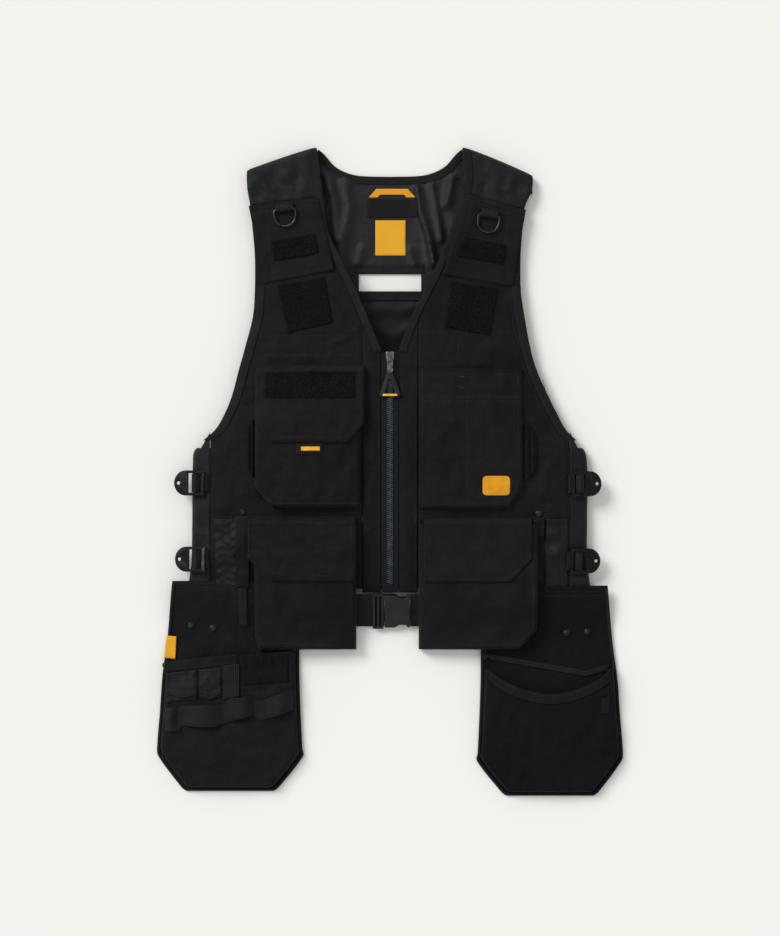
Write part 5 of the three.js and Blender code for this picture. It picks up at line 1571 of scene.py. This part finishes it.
# Strips and tabs at the waist, satin insets beside them
below = above(onFront, 0.1)
seamFlat = lambda x: smooth(clamp((238.5 - np.abs(x)) / 6))
trim("side_inset_left", [(215.5, 518.5), (239, 518.5)], [(216.5, 585.5), (239, 585.5)], below, 0.9, shell,
     "satin",
     ["front_panel_left"], (30, 70), lambda x, y: 1.5 * (waves(x, y, 17, 41, 70, 35) + 0.9), (), False)
trim("side_inset_right", [(544, 518.5), (566.5, 518.5)], [(544, 585.5), (566.5, 585.5)], below, 0.9, shell,
     "satin",
     ["front_panel_right"], (30, 70), lambda x, y: 1.2 * (waves(x, y, 18, 44, 70, 35) + 0.9) * seamFlat(x),
     (), False)
zigzag = [(561 + 4.2 * (k % 2), 519 + 0.9 * k) for k in range(73)]
stitches("side_zigzag_right", [onPage(zigzag)], lambda x, y: below(x, y) + 1.4, pitch=2.0)
trim("waist_strip_left", [(237, 515.5), (250, 515.5)], [(237, 586), (250, 586)], above(onFront, 4.3), 1.4,
     canvas, "canvas",
     ["front_panel_left"], (10, 60))
trim("waist_tab_right", [(531.5, 516.5), (543, 516.5)], [(531.5, 535.8), (543, 535.8)], above(onFront, 4.3),
     1.5, canvas,
     "canvas", ["front_panel_right"], (10, 20))
trim("hanging_strap", [(239, 586.5), (248, 586.5)], [(239.5, 626), (248, 626)], above(onHolster, 0.4), 1.4,
     webbingDown,
     "webbing", ["holster_wall_left"], (8, 30))


# Gussets: cloth folded between the pocket's outer wall and the front
def gusset(name, near, far, high, low, rests):
    def place(u, v):
        bulge = np.sin(np.pi * clamp(v * 0.96 + 0.02)) ** 0.55
        return (near + (far - near) * u * bulge - middleX) * pixel, (middleY - mix(high, low, v)) * pixel

    def swell(x, y):
        across = clamp((x / pixel + middleX - near) / (far - near))
        pleat = 4.6 * np.sin(np.pi * across) ** 0.8 * np.abs(np.cos(np.pi * across * 1.1)) ** 0.7
        return pleat + 0.3 * waves(x, y, 20, 3) + 0.3

    # the gusset is cut from the darker cloth: painted shade in the fold
    piece = laid(name, place, (26, 44), below, 1.1, paintedShadeCloth, (), 0.02, swell)
    x, y = place(*np.meshgrid(np.linspace(0, 1, 27), np.linspace(0, 1, 45)))
    z = below(x, y) + swell(x, y)
    # the fold laid out flat, row by row
    opened = np.hypot(np.diff(x, axis=1), np.diff(z, axis=1)).sum(axis=1)
    tall = (low - high) * pixel
    settle(piece, "canvas", (), (float(opened.max()), tall), float(opened.mean()) * tall / 1e6, rests,
           "folded")


gusset("chest_gusset_left", 255.3, 247.5, 420, 477, ["front_panel_left"])
gusset("chest_gusset_right", 522.6, 536.0, 423, 480, ["front_panel_right"])


# Bartacks: a short row of close stitches laid across a seam's end
def bartack(name, spots, surface, long=7.0):
    rows = []
    for (px, py), turn in spots:
        (x, y), = onPage([(px, py)])
        c, s = math.cos(math.radians(turn)), math.sin(math.radians(turn))
        for k in range(9):
            step, wide = (k - 4) * long / 9, 1.3
            rows.append(np.array([(x + c * step - s * wide, y + s * step + c * wide),
                                  (x + c * (step + 0.3) + s * wide, y + s * (step + 0.3) - c * wide)]))
    stitches(name, rows, surface, pitch=2.4, share=0.5)


rightChest = faceOf("chest_pocket_right", onFront, lambda x, y: pocketDepth(pockets["chestRight"], x, y))
bartack("bartacks_chest_right", [((516.5, 380), 90), ((461, 378), 0), ((461, 389), 0), ((421.5, 399), 90)],
        rightChest)
bartack("bartacks_front", [((257, 421), 90), ((257, 476), 90), ((521.5, 424), 90), ((521.5, 479), 90),
                           ((363, 519), 90),
                           ((415, 519), 90)], above(onFront, 0.2))
print("waist ready")

# Labels in the neck, all bare: hanger, black label, yellow label
labels = {"middle": 2.8, "wall": 1.0, "hanger": (65, 44, 58, 12), "neck": (70, 26, 72), "size": (42, 49, 102)}
onLining = lambda x, y: 0 * x + cloth + 0.4 + backFolds(x, y)


def labelPlace(middle, width, height, down):
    return lambda u, v: (middle + width * (u - 0.5), topY - down - height * v)


def makeLabels():
    bottomWide, topWide, down, high = labels["hanger"]

    def hangerPlace(u, v):
        return labels["middle"] + mix(topWide, bottomWide, v) * (u - 0.5), topY - down - high * v

    hole = lambda u, v: (u > 0.2) & (u < 0.8) & (v > 0.68)
    loop = laid("hanger", hangerPlace, (40, 18), onLining, labels["wall"], orangeLabel, (), 0.0, None, hole)
    settle(loop, "label_yellow", ["hanger_loop"], (65, 12), 0.00056, ["yoke_lining"])
    wide, high, down = labels["neck"]
    place = labelPlace(labels["middle"], wide, high, down)
    neck = laid("neck_tag", place, (40, 18), onLining, labels["wall"], blackLabel, (), 0.03)
    settle(neck, "label_black", ["neck_label"], (wide, high), None, ["yoke_lining"])
    wide, high, down = labels["size"]
    place = labelPlace(0.5, wide, high, down)
    tag = laid("size_tag", place, (30, 34), onLining, labels["wall"], yellowLabel, (), 0.03)
    settle(tag, "label_yellow", ["size_label"], (wide, high), None, ["yoke_lining"])
    rim = np.stack(place(*follow(np.array([(0.06, 0.05), (0.94, 0.05), (0.94, 0.95), (0.06, 0.95),
                                           (0.06, 0.05)]), 0.1).T), -1)
    stitches("size_tag_stitching", [rim], lambda x, y: onLining(x, y) + 0.6, orangeThread)


makeLabels()
trim("slot_band_upper", [(355, 265), (424, 265)], [(355, 274), (424, 274)], above(onLining, 0.1), 1.0, oxford,
     "canvas",
     ["yoke_lining"], (50, 8))
trim("slot_band_lower", [(356, 292), (423, 292)], [(356, 300.8), (423, 300.8)], above(onLining, 0.1), 1.0,
     tape, "binding",
     ["yoke_lining"], (50, 8))


# Plain chest patch with rounded corners and a stitched border
def makePatch():
    (mx, my), = onPage([(495, 485.5)])
    half = (19.0, 13.5)

    def place(u, v):
        s, t = 2 * u - 1, 2 * v - 1
        return mx + half[0] * s * np.sqrt(1 - 0.16 * t**8), my - half[1] * t * np.sqrt(1 - 0.22 * s**8)

    piece = laid("chest_patch", place, (36, 28), above(rightChest, 0.3), 1.3, orangeLabel, (), 0.03)
    settle(piece, "label_yellow", (), (38, 27), None, ["chest_pocket_right"])
    angle = np.linspace(0, tau, 60)
    ring = np.stack([mx + 17.2 * np.sign(np.cos(angle)) * np.abs(np.cos(angle)) ** 0.35,
                     my + 11.8 * np.sign(np.sin(angle)) * np.abs(np.sin(angle)) ** 0.35], -1)
    stitches("chest_patch_stitching", [ring], above(rightChest, 1.25), orangeThread, pitch=2.2)


makePatch()


# Yellow bars: on the chest tab and across the foot of the zip pull
def yellowBar(name, low, high, body):
    bpy.ops.object.select_all(action="DESELECT")
    middle = [(a + b) / 2000 for a, b in zip(low, high)]
    bpy.ops.mesh.primitive_cube_add(size=1, location=middle)
    bar = bpy.context.object
    bar.name = name
    bar.scale = [(b - a) / 1000 for a, b in zip(low, high)]
    bpy.ops.object.transform_apply(location=True, rotation=True, scale=True)
    bpy.ops.object.mode_set(mode="EDIT")
    bpy.ops.mesh.subdivide(number_cuts=3)
    bpy.ops.object.mode_set(mode="OBJECT")
    bevel = bar.modifiers.new("round", "BEVEL")
    bevel.width, bevel.segments, bevel.limit_method = 0.0005, 3, "ANGLE"
    bpy.ops.object.modifier_apply(modifier=bevel.name)
    bar.data.materials.append(yellowPlastic)
    bar.data.shade_smooth()
    bar.data.set_sharp_from_angle(angle=math.radians(35))
    settle(bar, "label_yellow", body=body)


pullLow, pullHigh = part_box("zip_pull")
yellowBar("pull_bar", (-10, pullLow[1] * 1000 + 0.6, pullHigh[2] * 1000 - 0.9),
          (10, pullLow[1] * 1000 + 3.6, pullHigh[2] * 1000 + 0.9), "zip_pull")
(barX, barY), = onPage([(311.7, 448.9)])
barZ = float(onChest(barX, barY)) + 1.6
yellowBar("chest_tab_bar", (barX - 13, barY - 2.8, barZ), (barX + 13, barY + 2.8, barZ + 1.4), "vest")
print("labels ready")
